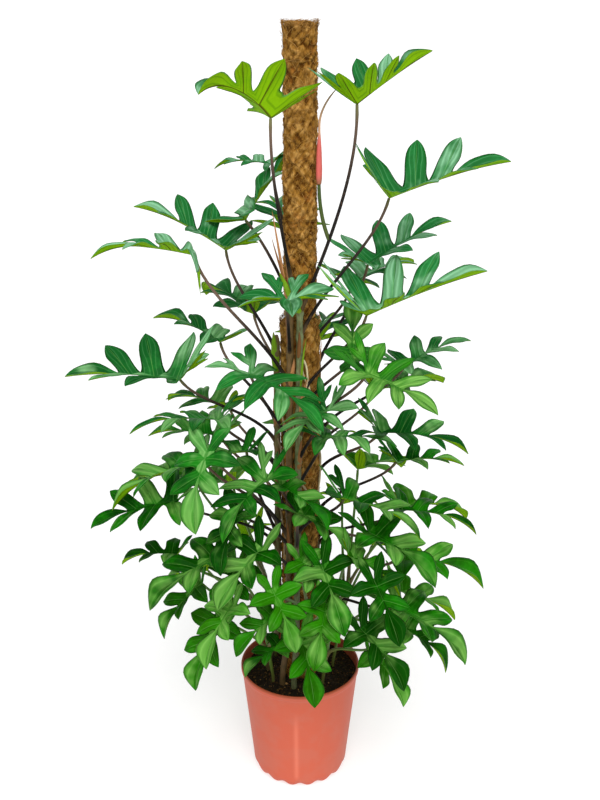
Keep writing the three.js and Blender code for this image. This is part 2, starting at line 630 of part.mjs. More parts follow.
// bend the flat blade along an arc down the midrib and an arc out to each side, lift its hind
// lobes, and give it a thickness that runs out to nothing at the outline
function bladeGeometry(leaf, seed) {
  const bend = { ...BEND, ...leaf.bend };
  const blade = flatBlade(FORMS[leaf.form], seed, bend.curl);
  const fold = radians(bend.fold);
  const arch = radians(bend.arch);
  const droop = radians(bend.droop);
  const hind = radians(bend.hind);
  const positions = [];
  const above = [];
  const below = [];
  const push = (p) => positions.push(p.x, p.y, p.z) / 3 - 1;
  blade.points.forEach(({ u, v, lift, edge }) => {
    const along = Math.max(u, 0) * droop;
    const ahead = u > 0 ? Math.sin(along) / droop : u;
    const sag = u > 0 ? (1 - Math.cos(along)) / droop : 0;
    const slope = v === 0 ? 0 : fold - arch * Math.abs(v);
    const side = Math.sign(v) * (Math.sin(fold) - Math.sin(fold - arch * Math.abs(v))) / arch;
    const lateral = (Math.cos(fold - arch * Math.abs(v)) - Math.cos(fold)) / arch;
    const bearing = THREE.MathUtils.radToDeg(Math.atan2(Math.abs(v), u));
    const raise = hind * THREE.MathUtils.smoothstep(bearing, HIND_FROM, HIND_TO);
    const out = lateral + lift + Math.hypot(u, v) * Math.sin(raise);
    const middle = new THREE.Vector3(
      ahead * Math.cos(raise) + out * Math.sin(along),
      side * Math.cos(raise),
      out * Math.cos(along) - sag,
    );
    const normal = new THREE.Vector3(
      Math.sin(along) * Math.cos(slope),
      -Math.sign(v) * Math.sin(slope),
      Math.cos(along) * Math.cos(slope),
    );
    middle.multiplyScalar(leaf.length);
    if (edge === 1) {
      above.push(push(middle));
      below.push(above.at(-1));
    } else {
      above.push(push(middle.clone().addScaledVector(normal, BLADE_HALF_THICKNESS)));
      below.push(push(middle.clone().addScaledVector(normal, -BLADE_HALF_THICKNESS)));
    }
  });
  const index = [];
  blade.faces.forEach(([a, b, c]) => {
    index.push(above[a], above[b], above[c]);
    index.push(below[a], below[c], below[b]);
  });
  const geometry = new THREE.BufferGeometry();
  geometry.setAttribute('position', new THREE.Float32BufferAttribute(positions, 3));
  geometry.setIndex(index);
  return geometry;
}

// the pink sheath on its slim stem, narrowing into the rolled young leaf, which hooks over
function growingTip() {
  const [seatX, seatY, seatZ] = TIP_SEAT;
  const profile = [
    [0, 0],
    [SHEATH_RADIUS * 0.8, 0],
    [SHEATH_RADIUS, 22],
    [SHEATH_RADIUS * 0.8, 50],
    [ROLLED_LEAF_RADIUS, SHEATH_LENGTH],
    [ROLLED_LEAF_RADIUS, SHEATH_LENGTH + 24],
    [ROLLED_LEAF_RADIUS * 0.9, SHEATH_LENGTH + 52],
    [0, SHEATH_LENGTH + ROLLED_LEAF_LENGTH],
  ];
  const geometry = turned(profile, 8);
  const position = geometry.attributes.position;
  for (let i = 0; i < position.count; i += 1) {
    const height = position.getZ(i);
    const hook = ROLLED_LEAF_HOOK * Math.max(height - ROLLED_LEAF_HOOK_FROM, 0) ** 2;
    position.setX(i, position.getX(i) + hook + seatX);
    position.setY(i, position.getY(i) + seatY);
    position.setZ(i, height + seatZ + SEAT_GAP);
  }
  return fromSolid(solid(geometry));
}

const plant = new THREE.Group();

function add(name, geometry, material) {
  const mesh = new THREE.Mesh(geometry, material);
  mesh.name = name;
  plant.add(mesh);
  return mesh;
}

add('pot', pot(), POT);
add('soil', soil(), SOIL);
add('pole_lower', pole(POLE_LOWER_RADIUS, POLE_FOOT, POLE_JOIN), COIR);
add('pole_upper', pole(POLE_UPPER_RADIUS, POLE_JOIN + SEAT_GAP, POLE_TOP), COIR);
Object.keys(VINES).forEach((name) => add(`vine_${name}`, vine(name), STEM));
Object.keys(SHOOTS).forEach((name) => add(name, shoot(name), LEAF));
add('growing_tip', growingTip(), SHEATH);
LEAVES.forEach((leaf, i) => {
  if (SHOOTS[leaf.stem]) return;
  const mesh = add(`leaf_${String(i + 1).padStart(2, '0')}`, bladeGeometry(leaf, i + 1), LEAF);
  mesh.position.set(...leaf.foot);
  mesh.rotation.copy(leafRotation(leaf));
});

export default plant;
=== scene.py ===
import itertools
import math

import bpy
import numpy as np
from bpy.props import FloatProperty, FloatVectorProperty, IntProperty, PointerProperty
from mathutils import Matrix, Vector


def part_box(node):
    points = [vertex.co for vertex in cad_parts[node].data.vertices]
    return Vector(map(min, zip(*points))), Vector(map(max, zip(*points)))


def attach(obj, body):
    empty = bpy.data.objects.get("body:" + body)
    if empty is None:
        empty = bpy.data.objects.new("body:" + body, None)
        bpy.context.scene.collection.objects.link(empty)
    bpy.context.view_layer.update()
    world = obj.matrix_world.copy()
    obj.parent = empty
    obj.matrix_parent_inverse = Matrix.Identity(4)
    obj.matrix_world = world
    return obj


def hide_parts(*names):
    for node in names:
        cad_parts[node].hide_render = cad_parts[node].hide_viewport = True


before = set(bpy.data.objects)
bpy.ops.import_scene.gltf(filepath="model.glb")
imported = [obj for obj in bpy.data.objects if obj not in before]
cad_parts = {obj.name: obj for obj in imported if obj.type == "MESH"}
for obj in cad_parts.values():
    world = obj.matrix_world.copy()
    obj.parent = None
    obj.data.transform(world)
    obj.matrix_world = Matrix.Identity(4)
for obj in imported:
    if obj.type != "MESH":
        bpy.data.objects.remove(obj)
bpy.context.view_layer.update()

bl_info = {
    "name": "Potted Philodendron Pedatum",
    "version": (1, 0, 0),
    "blender": (4, 5, 0),
    "location": "View3D > Sidebar > Philodendron",
    "description": "Builds a philodendron pedatum on a coir pole, piece by piece, round its packed solids",
    "category": "Add Mesh",
}

MM = 0.001
BODY = "root"


def shade(red, green, blue):
    """A colour given as screen values from 0 to 255, as the linear values that shaders take."""
    screen = np.array([red, green, blue]) / 255
    linear = np.where(screen > 0.04045, ((screen + 0.055) / 1.055) ** 2.4, screen / 12.92)
    return tuple(float(value) for value in linear)


# Places of the plant's parts, in millimetres as in the part's own source

# climbing stems: compass place round the pole in degrees, the height of the top, and the tone of
# the bark from brown 0 to green 1
VINES = {
    "front": (-124, 1045, 0.15),
    "centre": (-101, 1000, 0.95),
    "right": (36, 900, 0.5),
    "back": (92, 1055, 0.3),
    "left": (180, 935, 0.4),
}
# a climbing stem stands off the pole at the soil and closes in over the height given; it keeps a
# gap to the pole, and turns round it by so many degrees a metre
VINE_FOOT_SPREAD = 20
VINE_SPREAD_HEIGHT = 120
VINE_POLE_GAP = 0.8
VINE_TWIST = 14
# above the join of the pole's two lengths, a stem closes in between these heights
VINE_JOIN_FROM = 15
VINE_JOIN_TO = 90
# young green shoots that stand free in the soil: compass place, and the height of the top
SHOOTS = {
    "shoot_front": (-80, 430),
    "shoot_right": (-48, 430),
    "shoot_left": (218, 415),
    "shoot_east": (8, 425),
    "shoot_west": (138, 415),
}
# a shoot's distance from the pole's middle at the soil, and how far it leans out a millimetre
SHOOT_DISTANCE = 68
SHOOT_LEAN = 0.16
# heights of the stems' lower ends, the step between the rings of a stem, the breadth of the
# swelling where a leaf leaves it, the height above the soil where its bend starts, and the angle
# at which a leaf stalk leaves it, in degrees
VINE_FOOT = 170
SHOOT_FOOT = 176
STEM_STEP = 7
NODE_BREADTH = 5
SOIL_CLEAR = 14
STALK_RISE = 68

# each form of blade in parts of its length: a lobe is base on the midrib, angle from it, length,
# half width, and reach of the web in front of it
FORMS = {
    "mature": {
        "neck": 0.53,
        "neck_half": 0.013,
        "terminal": 0.092,
        "lobes": [
            (0.43, 50, 0.4, 0.07, 0.014),
            (0.22, 71, 0.45, 0.076, 0.032),
            (0.03, 98, 0.43, 0.068, 0.055),
            (0.0, 135, 0.46, 0.062, 0.12),
        ],
        "spur": {"at": 0.3, "angle": 190, "length": 0.25, "half": 0.038, "web": 0.12},
    },
    "broad": {
        "neck": 0.52,
        "neck_half": 0.05,
        "terminal": 0.11,
        "lobes": [
            (0.38, 48, 0.34, 0.07, 0.05),
            (0.17, 72, 0.46, 0.08, 0.07),
            (0.0, 96, 0.5, 0.07, 0.22),
            (0.0, 130, 0.46, 0.055, 0.27),
        ],
        "spur": None,
    },
    "young": {
        "neck": 0.47,
        "neck_half": 0.022,
        "terminal": 0.16,
        "lobes": [
            (0.33, 52, 0.4, 0.095, 0.03),
            (0.1, 86, 0.44, 0.1, 0.08),
            (0.0, 136, 0.42, 0.09, 0.13),
        ],
        "spur": None,
    },
}
# how far out a lobe is broadest, and the depth of its trough, the height of its pillow and the
# wave of its edge in parts of its half width
LOBE_PEAK = 1.25
LOBE_TROUGH = 0.25
LOBE_PILLOW = 0.15
EDGE_WAVE = 0.14
# the bearings between which the tipping of the hind lobes sets in, in degrees; then the notch at
# the blade's foot and the heel of a branching lobe, in parts of the blade's length
HIND_FROM = 75
HIND_TO = 140
BASE_NOTCH = 0.03
SPUR_HEEL = 0.035
# how a blade is bent: the fold up from its midrib, the arch of each half and the droop along the
# midrib in degrees, how far the hind lobes are tipped up, and how strongly the lobes curl down
BEND = {"fold": 24, "arch": 40, "droop": 25, "hind": 50, "curl": 1}
FAN = {"fold": 33, "arch": 8, "droop": 9, "hind": 72, "curl": 0.2}
FAN_LEFT = {"fold": 30, "arch": 18, "droop": 18, "curl": 0.3}
CUPPED = {"fold": 52, "arch": 10, "droop": 5, "curl": 0.1}
HANGING = {"fold": 38, "arch": 30, "droop": 70, "curl": 0.3}
# leaves of the climbing stems that came out lighter than their neighbours, by number
FRESH_LEAVES = {11: 1.1, 13: 1.5}
# how young the blades of the shoots look, from 0 to 1
SHOOT_YOUTH = 0.75
# the growing tip's stem forks off the first leaf's stalk, bends once and ends at its seat
TIP_FORK = 0.36
TIP_SEAT = (32, -22, 1204)
TIP_BEND = (33, -24, 1150)
TIP_HOOK = 0.008
TIP_HOOK_FROM = 95
TIP_LENGTH = 160
TIP_STEM_WIDTHS = (3.6, 3.0)
# a tone above every stem's, by which the bark knows the growing tip's green stem
TIP_STEM_TONE = 2.0

# each leaf: its stem and the height it leaves it, the place of its blade's foot, the compass
# heading, pitch and roll of its midrib in degrees, its length, its form, and how it bends; the
# rows began as readings, and many were then nudged by a search until no solids overlapped
LEAVES = [
    ("centre", 985, (92, -50, 1336), (14, 36, 4), 150, "broad", CUPPED),
    ("front", 1037, (-46, -110, 1319), (216, 48, 28), 182, "broad", HANGING),
    ("back", 1040, (-50, 95, 1222), (165, 12, -8), 115, "mature", {"fold": 15}),
    ("centre", 940, (152, -10, 1179), (0, 22, 20), 215, "mature", FAN),
    ("back", 967, (-96, 31, 1134), (19, 60, -8), 175, "young"),
    ("left", 901, (-131, 20, 1083), (171, 34, -11), 184, "mature", FAN_LEFT),
    ("front", 849, (-179, -70, 1094), (188, 15, 4), 172, "mature", {"droop": 15, "hind": -65}),
    ("right", 860, (124, 70, 1047), (15, 32, 16), 180, "mature", {"arch": 20, "droop": 15, "curl": 0.3}),
    ("front", 906, (-22, -93, 1019), (-87, 17, 1), 195, "mature", {"fold": 12, "droop": 5}),
    ("centre", 823, (118, -12, 972), (-10, 28, 14), 225, "mature", FAN),
    ("centre", 794, (91, -48, 897), (84, 65, 7), 120, "young"),
    ("left", 760, (-150, 72, 897), (162, 32, 0), 145, "young"),
    ("centre", 750, (115, -100, 894), (-46, -2, 24), 155, "mature"),
    ("right", 720, (193, 30, 864), (12, 32, 10), 140, "mature", {"fold": 12, "arch": 15}),
    ("left", 721, (-216, -28, 857), (177, 9, -16), 215, "mature", FAN_LEFT),
    ("front", 740, (-87, -75, 884), (-42, -4, 0), 185, "mature", {"fold": 10, "hind": 20}),
    ("left", 669, (-146, -44, 786), (194, 11, 9), 165, "mature", {"fold": 10, "droop": 15}),
    ("right", 641, (142, -69, 771), (-4, 4, 4), 170, "mature"),
    ("left", 610, (-150, 30, 722), (170, 12, -5), 150, "mature"),
    ("left", 554, (-173, -50, 703), (189, -2, 3), 200, "mature", {"droop": 40}),
    ("front", 538, (-160, -141, 764), (-106, -27, 12), 150, "young", {"fold": 10, "hind": 25}),
    ("centre", 703, (46, -85, 820), (-121, 7, 7), 150, "mature", {"fold": 10}),
    ("centre", 646, (39, -98, 773), (-13, 12, 1), 135, "mature", {"fold": 5, "droop": 15}),
    ("front", 589, (-60, -112, 700), (-120, -3, 1), 160, "mature"),
    ("right", 560, (182, 3, 682), (5, 10, 0), 135, "mature"),
    ("centre", 550, (79, -110, 659), (-28, 4, -6), 160, "mature"),
    ("left", 500, (-230, -56, 629), (187, -5, -23), 175, "mature"),
    ("right", 488, (189, -27, 596), (-9, 4, -2), 155, "mature"),
    ("right", 500, (125, -115, 595), (-40, -4, 6), 160, "young", {"hind": 30}),
    ("left", 450, (-145, -115, 550), (214, -8, -6), 165, "young", {"hind": 30}),
    ("front", 470, (-68, -150, 582), (-128, -16, -10), 140, "young"),
    ("centre", 437, (39, -155, 549), (-75, -16, 12), 140, "young"),
    ("right", 430, (177, -90, 524), (-12, 9, 0), 175, "young"),
    ("front", 520, (-111, -115, 636), (-112, -24, 12), 125, "young", {"hind": 25}),
    ("centre", 590, (-34, -95, 678), (-38, -8, -8), 125, "young", {"hind": 15}),
    ("centre", 520, (-4, -105, 629), (-24, -12, 6), 125, "young", {"hind": 15}),
    ("back", 920, (-20, 150, 1090), (100, 25, 0), 190, "mature"),
    ("back", 850, (100, 140, 990), (45, 20, 0), 190, "mature"),
    ("back", 780, (-90, 150, 930), (125, 20, 0), 190, "young"),
    ("back", 710, (30, 190, 860), (80, 15, 0), 200, "mature"),
    ("back", 640, (150, 150, 770), (35, 10, 0), 190, "young"),
    ("back", 590, (-140, 150, 730), (140, 10, 0), 190, "mature"),
    ("back", 510, (0, 210, 650), (90, 5, 0), 190, "young"),
    ("left", 523, (-96, -77, 737), (-144, 13, 4), 135, "young"),
    ("right", 350, (178, -130, 450), (-32, -10, 0), 165, "young", {"hind": 25}),
    ("shoot_front", 305, (0, -170, 408), (-74, -24, 0), 130, "young"),
    ("shoot_front", 320, (-40, -181, 465), (-144, -15, -13), 108, "young"),
    ("shoot_front", 400, (-49, -193, 523), (-61, -32, 13), 120, "young"),
    ("shoot_front", 354, (46, -202, 495), (-101, -21, -8), 120, "young"),
    ("shoot_front", 416, (0, -139, 555), (-51, -26, 12), 110, "young"),
    ("shoot_right", 333, (109, -193, 442), (-51, -14, 9), 135, "young"),
    ("shoot_right", 290, (130, -140, 365), (-42, -30, 0), 125, "young"),
    ("shoot_right", 405, (130, -200, 545), (-70, -22, 10), 125, "young"),
    ("shoot_right", 370, (190, -95, 385), (-18, -20, 0), 130, "young"),
    ("shoot_right", 410, (85, -157, 571), (-7, -21, -1), 125, "young"),
    ("shoot_left", 290, (-144, -112, 412), (232, -34, 0), 145, "young"),
    ("shoot_left", 330, (-186, -85, 472), (212, -30, 0), 128, "young"),
    ("shoot_left", 300, (-30, -158, 386), (-150, -8, 0), 95, "young"),
    ("shoot_left", 385, (-120, -190, 490), (240, -18, 8), 125, "young"),
    ("shoot_left", 395, (-239, 0, 486), (175, 5, 0), 120, "young"),
    ("shoot_left", 395, (-118, -106, 521), (-98, -22, -11), 120, "young"),
    ("shoot_east", 330, (150, 120, 440), (40, -15, 0), 165, "young"),
    ("shoot_east", 290, (190, 10, 400), (5, -15, 0), 150, "young"),
    ("shoot_east", 360, (90, 190, 500), (65, -10, 0), 165, "young"),
    ("shoot_east", 400, (200, 60, 560), (20, 0, 0), 165, "young"),
    ("shoot_east", 410, (120, 170, 590), (50, 0, 0), 175, "young"),
    ("shoot_west", 330, (-110, 180, 430), (120, -15, 0), 165, "young"),
    ("shoot_west", 300, (-190, 85, 400), (155, -15, 0), 150, "young"),
    ("shoot_west", 390, (-140, 160, 560), (135, 0, 0), 175, "young"),
    ("shoot_west", 400, (-210, 70, 620), (160, 0, 0), 165, "young"),
]


# Numbers


def scatter(index):
    """A repeatable number from 0 to 1: the part after the point of a large multiple of a sine."""
    value = np.sin(np.asarray(index) * 12.9898 + 4.1414) * 43758.5453
    return value - np.floor(value)


def smoothstep(value, low, high):
    """0 below low, 1 above high, and 3t^2 - 2t^3 between them."""
    t = np.clip((value - low) / (high - low), 0, 1)
    return t * t * (3 - 2 * t)


def values(*columns):
    """Columns of values side by side, one row for each point."""
    return np.stack(np.broadcast_arrays(*[np.asarray(column, float) for column in columns]), -1)


def circle(count):
    """The angles of equal steps round a circle."""
    return np.linspace(0, 2 * np.pi, count, endpoint=False)


def around(distance, angle, height):
    """Points at a distance from the Z axis: (d cos a, d sin a, z)."""
    return values(distance * np.cos(angle), distance * np.sin(angle), height)


def unit(vectors):
    """Vectors divided by their lengths."""
    return vectors / np.linalg.norm(vectors, axis=-1, keepdims=True)


def lumps(places, size, seed=0):
    """Smooth noise from -1 to 1: a random number at each corner of a lattice of cells of that
    size, joined across each cell by 3t^2 - 2t^3."""
    cells = np.asarray(places, float) / size + 37.7 * seed
    low = np.floor(cells).astype(np.int64)
    part = cells - low
    part = part * part * (3 - 2 * part)
    total = np.zeros(low.shape[:-1])
    for corner in itertools.product((0, 1), repeat=3):
        step = np.array(corner)
        at = low + step
        mixed = (at[..., 0] * 73856093) ^ (at[..., 1] * 19349663) ^ (at[..., 2] * 83492791)
        mixed = (mixed ^ (mixed >> 13)) * 1274126177
        value = ((mixed ^ (mixed >> 16)) & 0xFFFF) / 32767.5 - 1
        total += value * np.where(step == 1, part, 1 - part).prod(-1)
    return total


# Surfaces


def grid_faces(rows, columns, closed=True):
    """Triangles of a grid of points kept row by row; a closed grid joins its ends round."""
    row = np.arange(rows - 1)[:, None] * columns
    here = np.arange(columns if closed else columns - 1)[None]
    beside = (here + 1) % columns
    a, b = row + here, row + beside
    c, d = b + columns, a + columns
    return np.stack([a, b, c, a, c, d], -1).reshape(-1, 3)


def closed_rings(rings):
    """Rings (rows, columns, 3) joined to a skin, with a point at the middle of each end ring."""
    rows, columns = rings.shape[:2]
    first, last = rows * columns, rows * columns + 1
    here = np.arange(columns)
    beside = (here + 1) % columns
    top = (rows - 1) * columns
    points = np.concatenate([rings.reshape(-1, 3), rings[0].mean(0)[None], rings[-1].mean(0)[None]])
    foot = np.stack([np.full(columns, first), beside, here], -1)
    head = np.stack([np.full(columns, last), top + here, top + beside], -1)
    return points, np.concatenate([grid_faces(rows, columns), foot, head])


def turned(profile, columns):
    """A profile of (radius, height) pairs turned round Z."""
    radius, height = np.asarray(profile, float).T[..., None]
    return around(radius, circle(columns), height)


def refined(profile, spacing):
    """The same outline with points no further apart than the spacing, corners kept."""
    profile = np.asarray(profile, float)
    pieces = []
    for start, end in zip(profile[:-1], profile[1:]):
        count = max(int(np.ceil(np.linalg.norm(end - start) / spacing)), 1)
        pieces.append(start + (end - start) * np.linspace(0, 1, count, endpoint=False)[:, None])
    return np.concatenate(pieces + [profile[-1:]])


def bars(paths, radii, sides):
    """Round bars carried along paths (bars, places, 3): a ring is its place plus
    radius (cos a across + sin a up), square to the path, and each end closes on its middle."""
    count, places = paths.shape[:2]
    tangent = unit(np.gradient(paths, axis=1))
    chord = paths[:, -1] - paths[:, 0]
    reach = np.linalg.norm(chord, axis=-1, keepdims=True)
    aside = unit(np.cross(chord, (0, 0, 1)) + 1e-3 * reach * [1, 0, 0])[:, None]
    across = unit(aside - tangent * (aside * tangent).sum(-1, keepdims=True))
    up = np.cross(tangent, across)
    angle = circle(sides)[:, None]
    ring = np.cos(angle) * across[:, :, None] + np.sin(angle) * up[:, :, None]
    rings = paths[:, :, None] + radii[..., None, None] * ring
    size = places * sides + 2
    points = np.empty((count, size, 3))
    points[:, :-2] = rings.reshape(count, -1, 3)
    points[:, -2] = paths[:, 0]
    points[:, -1] = paths[:, -1]
    _, faces = closed_rings(rings[0])
    faces = (faces + np.arange(count)[:, None, None] * size).reshape(-1, 3)
    along = np.repeat(np.linspace(0, 1, places), sides)
    along = np.tile(np.append(along, [0, 1]), count)
    which = np.repeat(np.arange(count), size)
    return points.reshape(-1, 3), faces, along, which


def bar(path, radii, sides):
    """One round bar: its points, its triangles, and how far along it each point is."""
    return bars(path[None], radii[None], sides)[:3]


class Skin:
    """Points, triangles and painted values of one piece, gathered from several surfaces."""

    def __init__(self):
        self.points, self.faces, self.slots = [], [], []
        self.values = {}
        self.count = 0

    def add(self, points, faces, slot=0, **painted):
        """Adds a surface in millimetres; each title has three values for each point."""
        for title in self.values | painted:
            past = self.values.setdefault(title, [np.zeros((self.count, 3))] if self.count else [])
            given = np.asarray(painted.get(title, (0, 0, 0)), float)
            past.append(np.broadcast_to(given, (len(points), 3)))
        self.points.append(points)
        self.faces.append(faces + self.count)
        self.slots.append(np.full(len(faces), slot))
        self.count += len(points)
        return self

    def piece(self, name, materials, slot, node=None):
        """Makes the object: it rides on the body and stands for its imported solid."""
        points = np.concatenate(self.points) * MM
        faces = np.concatenate(self.faces)
        mesh = bpy.data.meshes.new(name)
        mesh.vertices.add(len(points))
        mesh.vertices.foreach_set("co", points.astype(np.float32).ravel())
        mesh.loops.add(faces.size)
        mesh.loops.foreach_set("vertex_index", faces.astype(np.int32).ravel())
        mesh.polygons.add(len(faces))
        mesh.polygons.foreach_set("loop_start", np.arange(0, faces.size, 3, dtype=np.int32))
        mesh.polygons.foreach_set("material_index", np.concatenate(self.slots).astype(np.int32))
        mesh.polygons.foreach_set("use_smooth", np.ones(len(faces), bool))
        for title, parts in self.values.items():
            layer = mesh.attributes.new(title, "FLOAT_VECTOR", "POINT")
            layer.data.foreach_set("vector", np.concatenate(parts).astype(np.float32).ravel())
        for material in materials:
            mesh.materials.append(material)
        mesh.update(calc_edges=True)
        made = bpy.data.objects.new(name, mesh)
        bpy.context.scene.collection.objects.link(made)
        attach(made, BODY)
        if node:
            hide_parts(node)
        return made


# Shader maths


class Wire:
    """An output socket of a material's nodes; sums on it add Math nodes."""

    def __init__(self, paint, socket):
        self.paint = paint
        self.socket = socket

    def maths(self, operation, *others):
        """A sum of this value and others."""
        sockets = dict(enumerate([self, *others]))
        return self.paint.node("ShaderNodeMath", sockets, operation=operation)

    def __add__(self, other):
        return self.maths("ADD", other)

    def __mul__(self, other):
        return self.maths("MULTIPLY", other)

    def __sub__(self, other):
        return self.maths("SUBTRACT", other)

    def __rsub__(self, other):
        return self.paint.node("ShaderNodeMath", {0: other, 1: self}, operation="SUBTRACT")

    __radd__ = __add__
    __rmul__ = __mul__

    def sine(self):
        """The sine of the value, in radians."""
        return self.maths("SINE")

    def clear(self):
        """The value kept from 0 to 1."""
        return self.paint.node("ShaderNodeClamp", {0: self})

    def ramp(self, low, high):
        """0 at low and 1 at high, smoothly."""
        sockets = {0: self, 1: low, 2: high, 3: 0.0, 4: 1.0}
        return self.paint.node("ShaderNodeMapRange", sockets, interpolation_type="SMOOTHSTEP")


def rgba(colour):
    """A colour as a socket takes it: a link as it is, or three values and a full fourth."""
    return colour if isinstance(colour, Wire) else (*colour, 1.0)


class Paint:
    """A material put together from nodes."""

    def __init__(self, name):
        self.material = bpy.data.materials.new(name)
        self.material.use_nodes = True
        self.tree = self.material.node_tree
        self.tree.nodes.clear()

    def node(self, kind, sockets=(), out=0, **settings):
        """Adds a node: its settings first, then the values or links of its sockets."""
        made = self.tree.nodes.new(kind)
        for key, value in settings.items():
            setattr(made, key, value)
        for key, value in dict(sockets).items():
            if isinstance(value, Wire):
                self.tree.links.new(value.socket, made.inputs[key])
            else:
                made.inputs[key].default_value = value
        return Wire(self, made.outputs[out])

    def place(self):
        """Object coordinates, in metres."""
        return self.node("ShaderNodeTexCoord", out="Object")

    def height(self):
        """Height above the floor, in metres."""
        split = self.node("ShaderNodeSeparateXYZ", {0: self.place()})
        return Wire(self, split.socket.node.outputs[2])

    def painted(self, title):
        """The three values painted on the piece under a title."""
        vector = self.node("ShaderNodeAttribute", out="Vector", attribute_name=title)
        split = self.node("ShaderNodeSeparateXYZ", {0: vector})
        return [Wire(self, socket) for socket in split.socket.node.outputs]

    def noise(self, vector, scale, detail=3.0, roughness=0.55):
        """Cloudy noise from 0 to 1 over a place."""
        sockets = {"Vector": vector, "Scale": scale, "Detail": detail, "Roughness": roughness}
        return self.node("ShaderNodeTexNoise", sockets)

    def stretch(self, vector, scale, turn=(0, 0, 0)):
        """A pattern's place scaled and turned."""
        return self.node("ShaderNodeMapping", {"Vector": vector, "Scale": scale, "Rotation": turn})

    def mix(self, factor, first, second):
        """One colour turning into another."""
        sockets = {0: factor, 6: rgba(first), 7: rgba(second)}
        return self.node("ShaderNodeMix", sockets, out=2, data_type="RGBA", clamp_factor=True)

    def layers(self, ground, *coats):
        """A colour with others laid over it in turn, each given as how much of it and which."""
        for amount, colour in coats:
            ground = self.mix(amount, ground, colour)
        return ground

    def finish(self, colour, roughness, relief=None, depth=1.0, specular=0.5, glow=0.0):
        """The surface: what varies goes to colour, roughness and bump, and the rest is constant."""
        sockets = {"Base Color": rgba(colour), "Roughness": roughness, "Specular IOR Level": specular}
        sockets.update({"Emission Color": (1, 1, 1, 1), "Emission Strength": glow})
        if relief is not None:
            bump = {"Height": relief, "Distance": depth * MM, "Strength": 1.0}
            sockets["Normal"] = self.node("ShaderNodeBump", bump)
        surface = self.node("ShaderNodeBsdfPrincipled", sockets)
        output = self.tree.nodes.new("ShaderNodeOutputMaterial")
        self.tree.links.new(surface.socket, output.inputs["Surface"])
        return self.material


# Sizes and colours


def size(name, description, default):
    """A length in metres."""
    options = {"min": 0.0, "subtype": "DISTANCE", "unit": "LENGTH"}
    return FloatProperty(name=name, description=description, default=default, **options)


def colour(name, description, default):
    """A colour in linear values."""
    options = {"min": 0.0, "max": 1.0, "subtype": "COLOR"}
    return FloatVectorProperty(name=name, description=description, default=default, **options)


_, POT_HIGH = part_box("pot")
LOWER_LOW, LOWER_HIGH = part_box("pole_lower")
UPPER_LOW, UPPER_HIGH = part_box("pole_upper")


class PotSizes(bpy.types.PropertyGroup):
    """The nursery pot"""

    height: size("Height", "From the floor to the top of the lip", POT_HIGH.z)
    rim: size("Rim radius", "Outer radius of the lip", POT_HIGH.x)
    foot: size("Foot radius", "Outer radius of the flat underside", 0.084)
    wall: size("Wall", "Thickness of the moulded wall", 0.002)
    body: colour("Body", "Colour of the moulded plastic", shade(186, 85, 61))
    bloom: colour("Bloom", "Dusty pink of the plastic's worn skin", shade(180, 94, 74))
    edge: colour("Edge", "Deeper colour of the lip and the foot", shade(196, 70, 38))


class SoilSizes(bpy.types.PropertyGroup):
    """The potting mix"""

    level: size("Level", "Height of the soil at the pot's wall", 0.216)
    dome: size("Dome", "Rise from the wall to the pole", 0.006)
    crumbs: IntProperty(name="Crumbs", description="Loose bits on top", default=1500, min=0)
    dark: colour("Dark", "Damp peat", shade(26, 16, 8))
    tan: colour("Tan", "Bark and fibre in the mix", shade(98, 68, 34))


class PoleSizes(bpy.types.PropertyGroup):
    """The coir pole"""

    lower: size("Lower radius", "Radius of the thicker length", LOWER_HIGH.x)
    upper: size("Upper radius", "Radius of the thinner length", UPPER_HIGH.x)
    knot: size("Knot", "Breadth of one lump of the twisted coir", 0.0175)
    relief: size("Relief", "How far the lumps stand out", 0.0034)
    strands: IntProperty(name="Strands", description="Loose strands a length", default=2200, min=0)
    # tan is a painted highlight on the coir's lumps, and brown and pit are painted shade in its hollows
    # and gaps; the loose strands take the three as tones of their own
    tan: colour("Tan", "Sunlit coir", shade(193, 147, 80))
    brown: colour("Brown", "Coir in the hollows", shade(142, 100, 39))
    pit: colour("Pit", "Deep gaps between the lumps", shade(84, 50, 12))
    # coir low down is damp, and painted shade of the leaves above darkens it as well
    damp_and_shade: colour("Damp", "Coir low down, which stays moist", shade(88, 62, 24))


class StemSizes(bpy.types.PropertyGroup):
    """Climbing stems, shoots and leaf stalks"""

    vine: size("Climbing stem", "Radius of a climbing stem", 0.006)
    shoot: size("Shoot", "Radius of a green shoot", 0.0032)
    stalk: size("Stalk", "Radius of a leaf stalk", 0.0023)
    root: size("Aerial root", "Radius of an aerial root", 0.0017)
    bark: colour("Bark", "Climbing stem, green", shade(128, 138, 96))
    worn: colour("Worn", "Climbing stem, brown", shade(120, 92, 56))
    dusk: colour("Dusk", "Foot of a leaf stalk", shade(18, 12, 8))
    ash: colour("Ash", "Head of a leaf stalk", shade(102, 82, 68))
    green: colour("Green", "Stalks of the young shoots", shade(74, 112, 30))


class LeafColours(bpy.types.PropertyGroup):
    """The blades"""

    deep: colour("Deep", "Old blade in shade", shade(0, 56, 0))
    fresh: colour("Fresh", "Blade in light", shade(30, 132, 8))
    cool: colour("Cool", "Blade in light, high up", shade(44, 138, 68))
    young: colour("Young", "Small blades at the bottom", shade(72, 146, 4))
    # the painted sheen of the high blades
    painted_sheen: colour("Sheen", "Dull bluish bloom of high blades", shade(146, 202, 160))
    # pale is the painted sheen of the low blades, and also the pale rim of the margins
    pale: colour("Pale", "Light patches of low blades", shade(136, 194, 92))
    rib: colour("Rib", "Pale midribs and margins", shade(112, 166, 84))
    # the underside's own paler yellow-green, brightened by painted light shining through the blade
    under: colour("Under", "Underside", shade(122, 170, 8))
    under_deep: colour("Under, deep", "Underside between its veins", shade(74, 122, 4))


